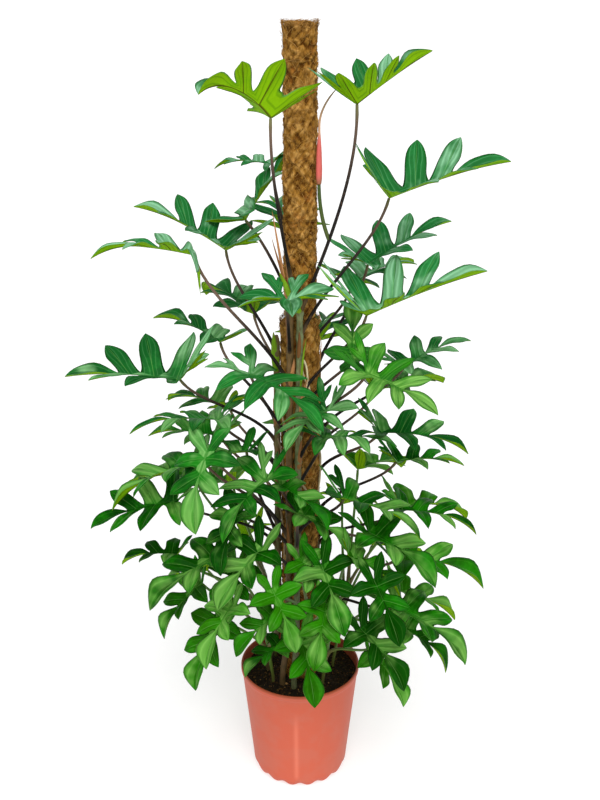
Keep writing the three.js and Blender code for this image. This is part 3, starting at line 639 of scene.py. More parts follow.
class StageLook(bpy.types.PropertyGroup):
    """Floor, light and camera"""

    camera_height: size("Camera height", "Height of the camera above the floor", 1.451)
    camera_distance: size("Camera distance", "From the camera to the pole, level", 1.729)
    camera_tilt: FloatProperty(
        name="Camera tilt", description="How far the camera looks down", default=math.radians(20.4),
        subtype="ANGLE",
    )
    lens: FloatProperty(name="Lens", description="Focal length in millimetres", default=45.0, min=1.0)
    floor: colour("Floor", "Pale studio floor", (0.5, 0.5, 0.5))


class PlantProject(bpy.types.PropertyGroup):
    """All sizes and colours of the plant"""

    pot: PointerProperty(type=PotSizes)
    soil: PointerProperty(type=SoilSizes)
    pole: PointerProperty(type=PoleSizes)
    stems: PointerProperty(type=StemSizes)
    leaves: PointerProperty(type=LeafColours)
    stage: PointerProperty(type=StageLook)


def project():
    """The plant's sizes and colours in this scene."""
    return bpy.context.scene.philodendron


# Pot


# the moulding, in millimetres: the wall begins where the rounded foot ends, and the lip stands out
# from its top
WALL_FOOT = 26
WALL_FOOT_RADIUS = 97
WALL_HEIGHT = 200
LIP_OUT = 2.5
LIP_FOOT = 225
# the arcs between the feet round the bottom edge, the rib down the wall, and the radius at which
# a turned profile starts
POT_FEET = 16
ARC_HEIGHT = 5.5
RIB_HEIGHT = 0.7
RIB_BREADTH = 4.5
MIDDLE = 12


def pot_wall(height, sizes):
    """Outer radius of the plain wall, in millimetres: a straight line in height."""
    along = (height - WALL_FOOT) / WALL_HEIGHT
    return WALL_FOOT_RADIUS + along * (sizes.rim / MM - LIP_OUT - WALL_FOOT_RADIUS)


def pot_skin(sizes):
    """The pot's profile turned round Z. Round its foot the skin is raised by
    depth (0.5 + 0.5 cos 16 a)^1.2, which leaves small feet, and a soft mould rib
    exp(-(arc / breadth)^2) stands out of the wall in front and behind."""
    rim, foot, wall, top = (value / MM for value in (sizes.rim, sizes.foot, sizes.wall, sizes.height))
    curve = np.linspace(0, np.pi / 2, 9)
    turn = WALL_FOOT_RADIUS - foot
    outside_foot = np.stack([foot + turn * np.sin(curve), WALL_FOOT - WALL_FOOT * np.cos(curve)], -1)
    lip = [
        (pot_wall(LIP_FOOT, sizes), LIP_FOOT), (rim - 1.6, LIP_FOOT + 2), (rim - 0.3, LIP_FOOT + 4),
        (rim, LIP_FOOT + 6), (rim, top - 3), (rim - 0.5, top - 1), (rim - 1.6, top), (rim - 3, top - 0.4),
        (rim - 4.2, top - 3), (pot_wall(LIP_FOOT - 1, sizes) - wall, LIP_FOOT - 1),
    ]
    inside_foot = outside_foot[::-1] + np.array([-wall, 1.0])
    profile = np.concatenate([
        [(MIDDLE, 0), (foot - 16, 0)], outside_foot, lip, inside_foot, [(foot - 20, 3), (MIDDLE, 3)],
    ])
    rings = turned(refined(profile, 5), 320)
    radius = np.hypot(rings[..., 0], rings[..., 1])
    angle = np.arctan2(rings[..., 1], rings[..., 0])
    height = rings[..., 2]
    wave = (0.5 + 0.5 * np.cos(POT_FEET * (angle + np.pi / 2))) ** 1.2
    near_foot = (1 - smoothstep(height, 2, WALL_FOOT)) * smoothstep(radius, foot - 14, foot - 2)
    rings[..., 2] += ARC_HEIGHT * wave * near_foot
    arc = radius * np.sin(angle + np.radians(94))
    rib = np.exp(-((arc / RIB_BREADTH) ** 2)) * smoothstep(height, 16, 34)
    rib = rib * (1 - smoothstep(height, 150, 205))
    rings[..., :2] *= (1 + RIB_HEIGHT * rib / radius)[..., None]
    edge = np.maximum(1 - smoothstep(height, 2, 14), smoothstep(height, top - 4, top - 1))
    # the inner wall and floor of the pot, which get painted shade
    shaded_inside = np.zeros_like(edge)
    shaded_inside[len(shaded_inside) // 2:] = 1
    points, faces = closed_rings(rings)
    painted = values(edge.ravel(), rib.ravel(), shaded_inside.ravel())
    painted = np.concatenate([painted, [(0, 0, 0), (0, 0, 1)]])
    return points, faces, painted


def pot_plastic(sizes):
    """Soft moulded plastic: cloudy colour, a deeper lip and foot, a painted highlight along the rib,
    painted shade inside the pot, and fine grain.
    """
    paint = Paint("pot_plastic")
    edge, rib, shaded_inside = paint.painted("moulding")
    place = paint.place()
    cloud = paint.noise(place, 18.0, 4.0, 0.6)
    grain = paint.noise(place, 420.0, 2.0)
    dust = paint.noise(paint.stretch(place, (1, 1, 0.35)), 40.0, 5.0, 0.65)
    body = paint.layers(
        sizes.body,
        (cloud.ramp(0.42, 0.62) * 0.55, sizes.bloom),
        (dust.ramp(0.5, 0.75) * 0.3, sizes.bloom),
        # painted highlight along the mould rib
        (rib * 0.4, shade(222, 124, 98)),
        (edge * 0.75, sizes.edge),
        # painted shade on the inside of the pot
        (shaded_inside * 0.6, shade(120, 62, 30)),
    )
    return paint.finish(body, 0.45 + 0.16 * dust, cloud * 0.5 + grain * 0.25, 0.35, specular=0.25)


# Soil


def soil_height(x, y, sizes):
    """Height of the soil in millimetres: a low dome, plus lumps of 26, 9 and 4 mm."""
    radius = np.hypot(x, y)
    dome = sizes.dome / MM * (1 - smoothstep(radius, 50, 105))
    place = values(x, y, 0)
    rough = 2.4 * lumps(place, 26, 1) + 1.3 * lumps(place, 9, 2) + 0.9 * lumps(place, 4, 3)
    return sizes.level / MM + dome + rough


def soil_skin(sizes, pot):
    """The fill of the pot, turned round Z, with its top lifted to the soil's height."""
    level, foot, wall = sizes.level / MM, pot.foot / MM, pot.wall / MM
    body = [(MIDDLE, 3.4), (foot - 9, 3.4), (foot + 3, 12.6), (WALL_FOOT_RADIUS - wall - 0.6, 28)]
    body.append((pot_wall(level - 4, pot) - wall - 0.6, level - 4))
    edge = pot_wall(level, pot) - wall - 0.8
    top = [(radius, level) for radius in np.linspace(edge, 6, 70)]
    rings = turned(body + top, 300)
    upper = rings[len(body):]
    upper[..., 2] = soil_height(upper[..., 0], upper[..., 1], sizes)
    return closed_rings(rings)


# the ring of soil that the crumbs lie on, from the pole to the wall, in millimetres
CRUMBS_FROM = 40
CRUMBS_TO = 112
CRUMB_SEED = 11


def loose_crumbs(sizes):
    """Crumbs spread evenly over the soil, most of them small, each with its own tone."""
    draw = np.random.default_rng(CRUMB_SEED)
    distance = np.sqrt(draw.uniform(CRUMBS_FROM ** 2, CRUMBS_TO ** 2, sizes.crumbs))
    angle = draw.uniform(0, 2 * np.pi, sizes.crumbs)
    x, y = distance * np.cos(angle), distance * np.sin(angle)
    breadth = draw.uniform(0.7, 1.6, sizes.crumbs) + 2.2 * draw.uniform(0, 1, sizes.crumbs) ** 5
    places = values(x, y, soil_height(x, y, sizes) + 0.1 * breadth)
    points, faces = crumb_shapes(places, breadth, CRUMB_SEED + 1)
    tone = np.repeat(draw.uniform(0, 1, sizes.crumbs), len(points) // sizes.crumbs)
    return points, faces, values(tone, 0, 0)


def crumb_shapes(places, sizes, seed):
    """Twenty-sided lumps: each corner of an icosahedron moved in or out at random, stretched,
    and turned about the vertical."""
    golden = (1 + 5 ** 0.5) / 2
    corners = []
    for a, b in itertools.product((-1, 1), (-golden, golden)):
        corners += [(0, a, b), (a, b, 0), (b, 0, a)]
    corners = unit(np.array(corners, float))
    faces = icosahedron_faces(corners)
    draw = np.random.default_rng(seed)
    count = len(places)
    wobble = draw.uniform(0.65, 1.15, (count, 12, 1))
    spans = ((0.7, 1.5), (0.6, 1.0), (0.45, 0.8))
    stretch = np.stack([draw.uniform(low, high, count) for low, high in spans], -1)
    turn = draw.uniform(0, 2 * np.pi, count)
    shapes = corners * wobble * stretch[:, None] * sizes[:, None, None]
    cos, sin = np.cos(turn)[:, None], np.sin(turn)[:, None]
    x, y, z = np.moveaxis(shapes, -1, 0)
    points = values(x * cos - y * sin, x * sin + y * cos, z) + places[:, None]
    faces = (faces + 12 * np.arange(count)[:, None, None]).reshape(-1, 3)
    return points.reshape(-1, 3), faces


def icosahedron_faces(corners):
    """The triples of corners that are all one edge apart, wound outwards."""
    apart = np.linalg.norm(corners[:, None] - corners[None], axis=-1)
    edge = apart[apart > 1e-6].min() * 1.01
    near = apart < edge
    threes = np.array(list(itertools.combinations(range(12), 3)))
    a, b, c = threes.T
    faces = threes[near[a, b] & near[a, c] & near[b, c]]
    a, b, c = (corners[faces[:, k]] for k in range(3))
    inward = (np.cross(b - a, c - a) * (a + b + c)).sum(-1) < 0
    faces[inward] = faces[inward][:, ::-1]
    return faces


def potting_mix(sizes):
    """Damp peat: near black, with tan bark and fibre in it."""
    paint = Paint("potting_mix")
    place = paint.place()
    bits = paint.noise(place, 260.0, 4.0, 0.7)
    patches = paint.noise(place, 60.0, 3.0)
    earth = paint.mix((bits * 0.7 + patches * 0.4).ramp(0.56, 0.8), sizes.dark, sizes.tan)
    return paint.finish(earth, 0.85 + 0.1 * bits, bits, 1.6, specular=0.2)


def crumb_skin(sizes):
    """Crumbs of peat and bark, each of its own tone."""
    paint = Paint("bark_crumbs")
    tone, _, _ = paint.painted("tone")
    grain = paint.noise(paint.place(), 700.0)
    chips = (tone.ramp(0.93, 0.97), shade(160, 122, 76))
    body = paint.layers(sizes.dark, (tone.ramp(0.35, 1.0), sizes.tan), chips)
    return paint.finish(body, 0.9, grain, 0.5, specular=0.15)


# Coir pole


def coir_relief(angle, height, radius, knot):
    """How high the coir stands, from about -1 to 1: cords wind both ways and part at
    sin((n a + k z) / 2) = 0 and sin((n a - k z) / 2) = 0, which leaves plump diamonds, the square
    root of the two sines' product, under lumps of three sizes."""
    place = around(radius, angle, height)
    count = round(2 * np.pi * radius / knot)
    pitch = 2 * np.pi / (1.25 * knot)
    warp = 1.0 * lumps(place, 1.9 * knot, 1) + 0.5 * lumps(place, 0.8 * knot, 7)
    rising = np.abs(np.sin((count * angle + pitch * height) / 2 + warp))
    falling = np.abs(np.sin((count * angle - pitch * height) / 2 - warp))
    diamonds = 2.1 * np.sqrt(rising * falling) - 1.25
    coarse = lumps(place, 0.75 * knot, 2)
    fine = lumps(place, 0.3 * knot, 3)
    hairy = lumps(place * [1, 1, 0.6], 0.12 * knot, 4)
    return 0.36 * diamonds + 0.62 * coarse + 0.5 * fine + 0.25 * hairy


def pole_skin(radius, bottom, top, sizes, spacing):
    """A column whose radius is its own plus the coir's relief, with rounded ends."""
    knot, relief = sizes.knot / MM, sizes.relief / MM
    columns = int(2 * np.pi * radius / spacing)
    heights = np.linspace(bottom, top, int((top - bottom) / spacing))
    grid_angle, grid_height = np.meshgrid(circle(columns), heights)
    stand = coir_relief(grid_angle, grid_height, radius, knot)
    end = np.minimum(grid_height - bottom, top - grid_height)
    round_off = 7 * (1 - smoothstep(end, 0, 9)) ** 2
    breadth = radius + relief * (stand - 0.35) - round_off
    rings = around(breadth, grid_angle, grid_height)
    caps = [rings[-1] * [part, part, 1] for part in (0.8, 0.55, 0.25)]
    caps = [cap + values(0, 0, 2.0 + 1.5 * lumps(cap, 8, 5)) for cap in caps]
    floor = [rings[0] * [part, part, 1] for part in (0.3, 0.8)]
    rings = np.concatenate([floor, rings, caps])
    edge_stand = np.concatenate([np.full((2, columns), -0.6), stand, np.full((3, columns), -0.2)])
    points, faces = closed_rings(rings)
    painted = values(np.append(edge_stand.ravel(), [-0.6, -0.2]), 0, 0)
    return points, faces, painted


def coir_strands(radius, bottom, top, sizes, seed):
    """Loose strands that wind over the coir. A strand starts anywhere, runs off at a slant, lies a
    little above the surface with a rise a sin(pi s) in its middle, and may spring out at its end.
    One in eight starts just under the top edge, which they leave ragged."""
    draw = np.random.default_rng(seed)
    count = sizes.strands
    steps = np.linspace(0, 1, 7)
    start_angle = draw.uniform(0, 2 * np.pi, (count, 1))
    start = draw.uniform(bottom + 4, top - 4, (count, 1))
    start[: count // 8] = top - draw.uniform(1, 11, (count // 8, 1))
    slant = np.radians(draw.normal(42, 24, (count, 1))) * draw.choice([-1, 1], (count, 1))
    reach = draw.uniform(9, 34, (count, 1))
    bend = draw.normal(0, 0.5, (count, 1))
    turn = slant + bend * (steps - 0.5)
    angle = start_angle + reach / radius * np.sin(turn) * steps
    height = start + reach * np.cos(turn) * steps
    height = np.clip(height, bottom, top + draw.uniform(-2, 7, (count, 1)) * steps)
    knot, relief = sizes.knot / MM, sizes.relief / MM
    lie = relief * (coir_relief(angle, height, radius, knot) - 0.35) + 0.2
    rise = draw.uniform(0, 1.3, (count, 1)) * np.sin(np.pi * steps)
    spring = (draw.uniform(0, 1, (count, 1)) ** 4.5) * 7 * steps ** 2
    paths = around(radius + lie + rise + spring, angle, height)
    thickness = draw.uniform(0.16, 0.42, (count, 1)) * (1 - 0.6 * steps ** 2)
    points, faces, _, which = bars(paths, thickness, 3)
    tone = draw.uniform(0, 1, count)[which]
    return points, faces, values(tone, 0, 0)


def coir(sizes):
    """Twisted coconut fibre: a painted tan highlight where it stands out, painted shade in brown below
    and near black in the pits and holes, darker low down where it is damp and painted shade lies,
    with fine slanting hairs in colour and bump."""
    paint = Paint("coir")
    stand, _, _ = paint.painted("stand")
    place = paint.place()
    rising = paint.noise(paint.stretch(place, (1, 1, 0.25), (0.6, 0.3, 0.2)), 900.0, 3.0, 0.6)
    falling = paint.noise(paint.stretch(place, (1, 1, 0.25), (-0.6, -0.3, 0.9)), 900.0, 3.0, 0.6)
    hair = rising * 0.5 + falling * 0.5
    patch = paint.noise(place, 45.0, 3.0)
    raised = (stand * 0.6 + 0.46 + (hair - 0.5) * 0.9 + (patch - 0.5) * 0.4).clear()
    # darker low down: partly damp coir, partly painted shade of the leaves above
    damp_and_shade = 1.0 - paint.height().ramp(0.45, 1.05)
    rust = paint.noise(place, 38.0, 2.0).ramp(0.52, 0.7)
    hole = paint.noise(place, 95.0, 2.0).ramp(0.54, 0.66)
    # painted light by relief: near-black shade in the gaps, brown shade in the hollows, a tan highlight on
    # the lumps, and painted shade in the holes, deeper low down
    body = paint.layers(
        sizes.pit,
        (raised.ramp(0.08, 0.4), paint.mix(damp_and_shade * 0.7, sizes.brown, sizes.damp_and_shade)),
        (raised.ramp(0.4, 0.9), paint.mix(damp_and_shade * 0.6, sizes.tan, shade(138, 96, 42))),
        (rust * 0.45, shade(158, 96, 38)),
        (hole * (0.35 + 0.5 * damp_and_shade), shade(44, 24, 6)),
    )
    return paint.finish(body, 0.95, hair, 1.2, specular=0.04)


def coir_strand(sizes):
    """One strand of coir: each from brown to pale tan."""
    paint = Paint("coir_strand")
    tone, _, _ = paint.painted("tone")
    body = paint.layers(sizes.pit, (tone.ramp(0.0, 0.5), sizes.brown), (tone.ramp(0.4, 1.0), sizes.tan))
    return paint.finish(body, 0.85, specular=0.2)


# Stems and stalks


def vine_axis(name, height):
    """Axis of a climbing stem in millimetres: (d cos a, d sin a, z), with a turning slowly, and d
    the pole's radius and the stem's own, spread near the soil and closing in above the join."""
    azimuth = VINES[name][0]
    sizes, stems = project().pole, project().stems
    level, join_height = project().soil.level / MM, LOWER_HIGH.z / MM
    clear = level + SOIL_CLEAR
    angle = np.radians(azimuth + VINE_TWIST * np.maximum(height - clear, 0) / 1000)
    foot = smoothstep(height, clear, level + VINE_SPREAD_HEIGHT)
    join = smoothstep(height, join_height + VINE_JOIN_FROM, join_height + VINE_JOIN_TO)
    pole = sizes.lower / MM + (sizes.upper - sizes.lower) / MM * join
    distance = pole + stems.vine / MM + VINE_POLE_GAP + VINE_FOOT_SPREAD * (1 - foot)
    return around(distance, angle, height)


def shoot_axis(name, height):
    """Axis of a free shoot in millimetres: it leans out in a straight line above the soil."""
    azimuth, _ = SHOOTS[name]
    clear = project().soil.level / MM + SOIL_CLEAR
    distance = SHOOT_DISTANCE + SHOOT_LEAN * np.maximum(height - clear, 0)
    return around(distance, np.radians(azimuth), height)


def stem_axis(name, height):
    """Axis of any stem at a height or at several."""
    height = np.asarray(height, float)
    return vine_axis(name, height) if name in VINES else shoot_axis(name, height)


def leaf_turn(turn):
    """The matrix of a leaf's heading, pitch and roll: Rz(heading) Ry(-pitch) Rx(roll)."""
    heading, pitch, roll = np.radians(turn)
    ch, sh, cp, sp, cr, sr = (f(a) for a in (heading, pitch, roll) for f in (np.cos, np.sin))
    about_z = np.array([[ch, -sh, 0], [sh, ch, 0], [0, 0, 1]])
    about_y = np.array([[cp, 0, -sp], [0, 1, 0], [sp, 0, cp]])
    about_x = np.array([[1, 0, 0], [0, cr, -sr], [0, sr, cr]])
    return about_z @ about_y @ about_x


def stalk_path(leaf, count=22):
    """The stalk's line: a cubic curve with its ends on the stem's axis and under the blade's foot,
    leaving the stem steeply and arriving half square to the blade."""
    stem, node, foot, turn = leaf[:4]
    root = stem_axis(stem, node)
    foot = np.array(foot, float)
    blade_up = leaf_turn(turn) @ (0, 0, 1)
    chord = foot - root
    reach = np.linalg.norm(chord)
    arrive = unit(unit(chord) + 0.6 * blade_up)
    outward = math.atan2(chord[1], chord[0])
    rise = math.radians(STALK_RISE)
    leave = around(math.cos(rise), outward, math.sin(rise))
    end = foot - 0.3 * arrive
    controls = np.array([root, root + 0.35 * reach * leave, end - 0.3 * reach * arrive, end])
    t = np.linspace(0, 1, count)[:, None]
    weights = np.concatenate([(1 - t) ** 3, 3 * t * (1 - t) ** 2, 3 * t * t * (1 - t), t ** 3], 1)
    return weights @ controls


def add_stalks(skin, name):
    """The stalks of a stem: a sheathed foot, a slim middle and a swollen joint under the blade."""
    sizes = project().stems
    rows = [(i, leaf) for i, leaf in enumerate(LEAVES) if leaf[0] == name]
    paths = np.stack([stalk_path(leaf) for _, leaf in rows])
    along = np.linspace(0, 1, paths.shape[1])
    shape = 1.06 + 0.34 * (1 - along) + 0.5 * (1 - smoothstep(along, 0, 0.2))
    shape = shape + 0.2 * np.exp(-(((along - 0.955) / 0.035) ** 2))
    radii = np.broadcast_to(sizes.stalk / MM * shape, paths.shape[:2])
    points, faces, run, which = bars(paths, radii, 8)
    tone = scatter(np.array([i for i, _ in rows]) + 0.5)[which]
    skin.add(points, faces, growth=values(run, tone, 1))


def stem_skin(name, top, radius, foot, tone=0.5):
    """A stem: a bar along its axis, which swells by exp(-(h / breadth)^2) at each leaf's height and
    is pinched a little below it, with a blunt top."""
    heights = np.linspace(foot, top, int((top - foot) / STEM_STEP))
    path = stem_axis(name, heights)
    nodes = np.array([leaf[1] for leaf in LEAVES if leaf[0] == name], float)
    apart = (heights[:, None] - nodes) / NODE_BREADTH
    swell = 1 + 0.26 * np.exp(-apart ** 2).sum(1).clip(0, 1)
    swell = swell - 0.1 * np.exp(-(apart + 2) ** 2).sum(1).clip(0, 1)
    swell = swell + 0.05 * lumps(path, 11, 6)
    swell[-1] *= 0.45
    swell[-2] *= 0.8
    points, faces, run = bar(path, radius * swell, 14)
    return points, faces, values(run, tone, 0)


def vine_bark(sizes):
    """Old stems are grey-green bark, with painted shade that makes them darker low down; the stalks go
    from near-black purple to ash, with flecks."""
    paint = Paint("vine_bark")
    run, tone, stalk = paint.painted("growth")
    place = paint.place()
    streak = paint.noise(paint.stretch(place, (1, 1, 0.16)), 420.0, 4.0, 0.6)
    patch = paint.noise(place, 60.0, 3.0)
    bark = paint.layers(
        sizes.worn,
        ((tone + patch - 0.5).ramp(0.2, 0.8), sizes.bark),
        ((patch * 0.6 + streak * 0.7).ramp(0.5, 0.95), shade(50, 52, 18)),
        (streak.ramp(0.5, 0.72) * 0.6, shade(128, 104, 66)),
        # painted shade: the bark darker low down, under the leaves
        ((1.0 - paint.height().ramp(0.45, 0.8)) * 0.5, sizes.dusk),
    )
    skin = paint.layers(
        sizes.dusk,
        ((run * 1.1 - 0.1 + (tone - 0.5) * 0.5).ramp(0.4, 1.0), sizes.ash),
        (streak.ramp(0.55, 0.7) * 0.3, shade(124, 92, 62)),
        ((run - 0.9).ramp(0.0, 0.1) * 0.5, shade(104, 118, 58)),
        ((1.0 - run.ramp(0.02, 0.14)) * (0.3 + 0.5 * streak), sizes.worn),
        ((tone - 1.2).ramp(0.0, 0.5) * (0.5 + 0.5 * streak), shade(44, 78, 16)),
    )
    body = paint.mix(stalk, bark, skin)
    return paint.finish(body, 0.5 + 0.2 * streak, streak, 0.3, specular=0.2)


def green_stalk(sizes):
    """Young stalks: green, browner at the foot."""
    paint = Paint("green_stalk")
    run, tone, _ = paint.painted("growth")
    streak = paint.noise(paint.stretch(paint.place(), (1, 1, 0.2)), 380.0)
    body = paint.layers(
        shade(92, 78, 44),
        (run.ramp(0.0, 0.6), sizes.green),
        ((streak * 0.5 + tone * 0.4).ramp(0.3, 0.8) * 0.6, shade(60, 92, 34)),
    )
    return paint.finish(body, 0.45, streak, 0.2, specular=0.4)


# Blades

# where a lobe's points lie along its rib and from the rib to its edge, and how thick the skin is
# above and under the sheet from rib to edge, in millimetres
ALONG = 0.5 - 0.5 * np.cos(np.pi * np.linspace(0, 1, 15) ** 0.9)
ACROSS = np.array([0, 0.05, 0.16, 0.36, 0.6, 0.82, 1.0])
WEB_ROWS = np.linspace(0, 1, 6)
TOP_SKIN = np.array([0.02, 0.26, 0.42, 0.4, 0.34, 0.24, 0.0])
UNDER_SKIN = np.array([1.05, 0.62, 0.34, 0.28, 0.24, 0.18, 0.0])


class CutBlade:
    """One form of blade laid flat as grids of points, welded to one sheet. u runs along the
    midrib and v across it, in parts of the blade's length."""

    def __init__(self, form):
        self.grids = []
        lobes, spur = form["lobes"], form["spur"]
        neck = np.array([form["neck"], 0.0])
        neck_edge = np.array([form["neck"], form["neck_half"]])
        bases = [np.array([lobe[0], 0.0]) for lobe in lobes]
        starts = [neck_edge]
        for before, lobe in zip(lobes, lobes[1:]):
            mean = math.radians((lobe[1] + before[1]) / 2)
            starts.append(np.array([(lobe[0] + before[0]) / 2, 0]) + lobe[4] * heading(mean))
        notch = np.array([-BASE_NOTCH, 0.0])
        for mirror, first in ((1, 1), (-1, 1 + len(lobes))):
            self.half_lobe(neck, 0.0, 1 - form["neck"], form["terminal"], neck_edge, 1, mirror, 0)
            self.web(neck, bases[0], neck_edge, mirror)
            for k, (_, degrees, length, half, _) in enumerate(lobes):
                rib = (bases[k], math.radians(degrees), length, half)
                last = k + 1 == len(lobes)
                if last and spur:
                    self.hind_lobe(rib, spur, starts[k], notch, mirror, first + k)
                    continue
                self.half_lobe(*rib, starts[k], -1, mirror, first + k)
                self.half_lobe(*rib, notch if last else starts[k + 1], 1, mirror, first + k)
                if not last:
                    self.web(bases[k], bases[k + 1], starts[k + 1], mirror)
        self.weld()

    def keep(self, flat, mirror, lobe, rise, width, station, run):
        """Keeps a grid with the values that its shape in the round needs."""
        columns = [np.reshape(value, (-1, 1)) for value in (rise, width, station, run)]
        self.grids.append(values(flat[..., 0], mirror * flat[..., 1], ACROSS, lobe, *columns))

    def half_lobe(self, base, angle, length, half, start, side, mirror, lobe, stops=ALONG, ground=0.0):
        """Half of a lobe, from its rib to its outline. The outline is the rib moved square to it by
        half sin(pi s^1.25)^0.9, plus the gap from the rib's root to the web, fading as (1 - s)^3."""
        run = stops * length
        station = (stops - stops[0]) / (1 - stops[0])
        rib = base + run[:, None] * heading(angle)
        width = half * np.maximum(np.sin(np.pi * station ** LOBE_PEAK), 0) ** 0.9
        outline = rib + side * width[:, None] * heading(angle + np.pi / 2)
        outline = outline + (start - rib[0]) * ((1 - station) ** 3)[:, None]
        flat = rib[:, None] + (outline - rib)[:, None] * ACROSS[:, None]
        self.keep(flat, mirror, lobe, ground + run ** 2, width, station, run + np.sqrt(ground))

    def web(self, first, second, start, mirror):
        """The sheet between two ribs' roots and the point where their lobes part."""
        root = first + (second - first) * WEB_ROWS[:, None]
        flat = root[:, None] + (start - root)[:, None] * ACROSS[:, None]
        zero = np.zeros(len(root))
        self.keep(flat, mirror, 0, zero, zero, zero, zero)

    def hind_lobe(self, rib, spur, start, notch, mirror, lobe):
        """The hindmost lobe, with a small lobe that branches off its rib, and the sheet between
        that branch and the blade's notch."""
        base, angle, length, _ = rib
        reach = spur["at"] * length
        fork = base + reach * heading(angle)
        slant = math.radians(spur["angle"])
        crotch = fork + spur["web"] * heading((angle + slant) / 2)
        heel = fork + SPUR_HEEL * heading(math.radians(spur["angle"] + 100))
        beyond = spur["at"] + (1 - spur["at"]) * ALONG
        near = spur["at"] * WEB_ROWS
        self.half_lobe(*rib, start, -1, mirror, lobe, np.concatenate([near[:-1], beyond]))
        self.half_lobe(*rib, crotch, 1, mirror, lobe, beyond)
        small = (fork, slant, spur["length"], spur["half"])
        self.half_lobe(*small, crotch, -1, mirror, lobe, ground=reach ** 2)
        self.half_lobe(*small, heel, 1, mirror, lobe, ground=reach ** 2)
        root = base + (near * length)[:, None] * heading(angle)
        outline = notch + (heel - notch) * WEB_ROWS[:, None]
        flat = root[:, None] + (outline - root)[:, None] * ACROSS[:, None]
        zero = np.zeros(len(root))
        self.keep(flat, mirror, lobe, (reach * WEB_ROWS) ** 2, zero, zero, reach * WEB_ROWS)

    def weld(self):
        """Joins points that lie in one place, and drops the triangles that this closes."""
        fields = np.concatenate([grid.reshape(-1, grid.shape[-1]) for grid in self.grids])
        keys = np.round(fields[:, :2] * 1e5).astype(np.int64)
        _, chosen, where = np.unique(keys, axis=0, return_index=True, return_inverse=True)
        where = where.ravel()
        faces, count = [], 0
        for grid in self.grids:
            faces.append(where[grid_faces(*grid.shape[:2], closed=False) + count])
            count += grid.shape[0] * grid.shape[1]
        faces = np.concatenate(faces)
        a, b, c = faces.T
        faces = faces[(a != b) & (b != c) & (a != c)]
        u, v, across, lobe, rise, width, station, run = fields[chosen].T
        np.maximum.at(across, where, fields[:, 2])
        a, b, c = faces.T
        area = (u[b] - u[a]) * (v[c] - v[a]) - (u[c] - u[a]) * (v[b] - v[a])
        faces[area < 0] = faces[area < 0][:, ::-1]
        self.faces = faces
        self.u, self.v, self.across, self.lobe = u, v, across, lobe.astype(int)
        self.rise, self.width, self.station, self.run = rise, width, station, run


def heading(angle):
    """The direction of an angle from the midrib."""
    return np.array([math.cos(angle), math.sin(angle)])


def lobe_habit(form, seed, curl):
    """How far each lobe curls down and where its waves start, by the leaf's own seed. Lobe 0 is
    the terminal one, then come those of one side and of the other."""
    count = len(form["lobes"])
    k = np.arange(count)
    sides = [scatter(seed * 17 + k + shift) for shift in (0, 7)]
    phases = [scatter(seed * 17 + k + 20 + shift) for shift in (0, 7)]
    terminal = 0.15 + 0.5 * scatter(seed * 17 + 15)
    curls = np.concatenate([[terminal], *[0.7 * side for side in sides]])
    return curl * curls, np.concatenate([[scatter(seed + 3)], *phases])


def blade_points(blade, leaf, seed):
    """Upper and under points of a blade in its place. The sheet is bent down an arc along the
    midrib and down an arc to each side of a raised fold, its hind lobes are tipped up by an angle
    that grows with their bearing, and each lobe has a trough, a pillow and a wavy edge."""
    _, _, foot, turn, length, form = leaf[:6]
    bend = BEND | (leaf[6] if len(leaf) > 6 else {})
    fold, arch, droop, hind = (math.radians(bend[key]) for key in ("fold", "arch", "droop", "hind"))
    curls, phases = lobe_habit(FORMS[form], seed, bend["curl"])
    wave = EDGE_WAVE * np.sin(2 * np.pi * (1.25 * blade.station + phases[blade.lobe]))
    pillow = LOBE_PILLOW * np.sin(np.pi * blade.across)
    lift = blade.width * (blade.across * (LOBE_TROUGH + wave) + pillow)
    lift = lift - curls[blade.lobe] * blade.rise
    u, v = blade.u, blade.v
    along = np.maximum(u, 0) * droop
    ahead = np.where(u > 0, np.sin(along) / droop, u)
    sag = (1 - np.cos(along)) / droop
    slope = fold - arch * np.abs(v)
    side = np.sign(v) * (np.sin(fold) - np.sin(slope)) / arch
    lateral = (np.cos(slope) - np.cos(fold)) / arch
    bearing = np.degrees(np.arctan2(np.abs(v), u))
    tip_up = hind * smoothstep(bearing, HIND_FROM, HIND_TO)
    out = lateral + lift + np.hypot(u, v) * np.sin(tip_up)
    ahead = ahead * np.cos(tip_up)
    middle = values(ahead + out * np.sin(along), side * np.cos(tip_up), out * np.cos(along) - sag)
    lean = np.where(np.abs(v) > 1e-6, slope, 0) * np.sign(v)
    normal = values(np.sin(along) * np.cos(lean), -np.sin(lean), np.cos(along) * np.cos(lean))
    top = np.interp(blade.across, ACROSS, TOP_SKIN)[:, None]
    under = np.interp(blade.across, ACROSS, UNDER_SKIN)[:, None]
    matrix = leaf_turn(turn).T
    upper = (middle * length + normal * top) @ matrix + foot
    lower = (middle * length - normal * under) @ matrix + foot
    return upper, lower


def flat_blades():
    """Every form of blade, laid flat."""
    return {name: CutBlade(form) for name, form in FORMS.items()}


def add_blade(skin, blade, leaf, seed, youth, slot=0):
    """Both skins of a blade, joined along its outline."""
    upper, lower = blade_points(blade, leaf, seed)
    rim = blade.across >= 1
    count = len(upper)
    inner = np.flatnonzero(~rim)
    index = np.arange(count)
    index[inner] = count + np.arange(len(inner))
    points = np.concatenate([upper, lower[inner]])
    faces = np.concatenate([blade.faces, index[blade.faces][:, ::-1]])
    lobe_tone = scatter(seed * 31 + blade.lobe + 0.3)
    vein = values(blade.across, blade.run * leaf[4] * MM, lobe_tone)
    vein = np.concatenate([vein, vein[inner]])
    side = np.concatenate([np.ones(count), np.zeros(len(inner))])
    skin.add(points, faces, slot, vein=vein, leaf=values(side, scatter(seed * 7 + 0.9), youth))


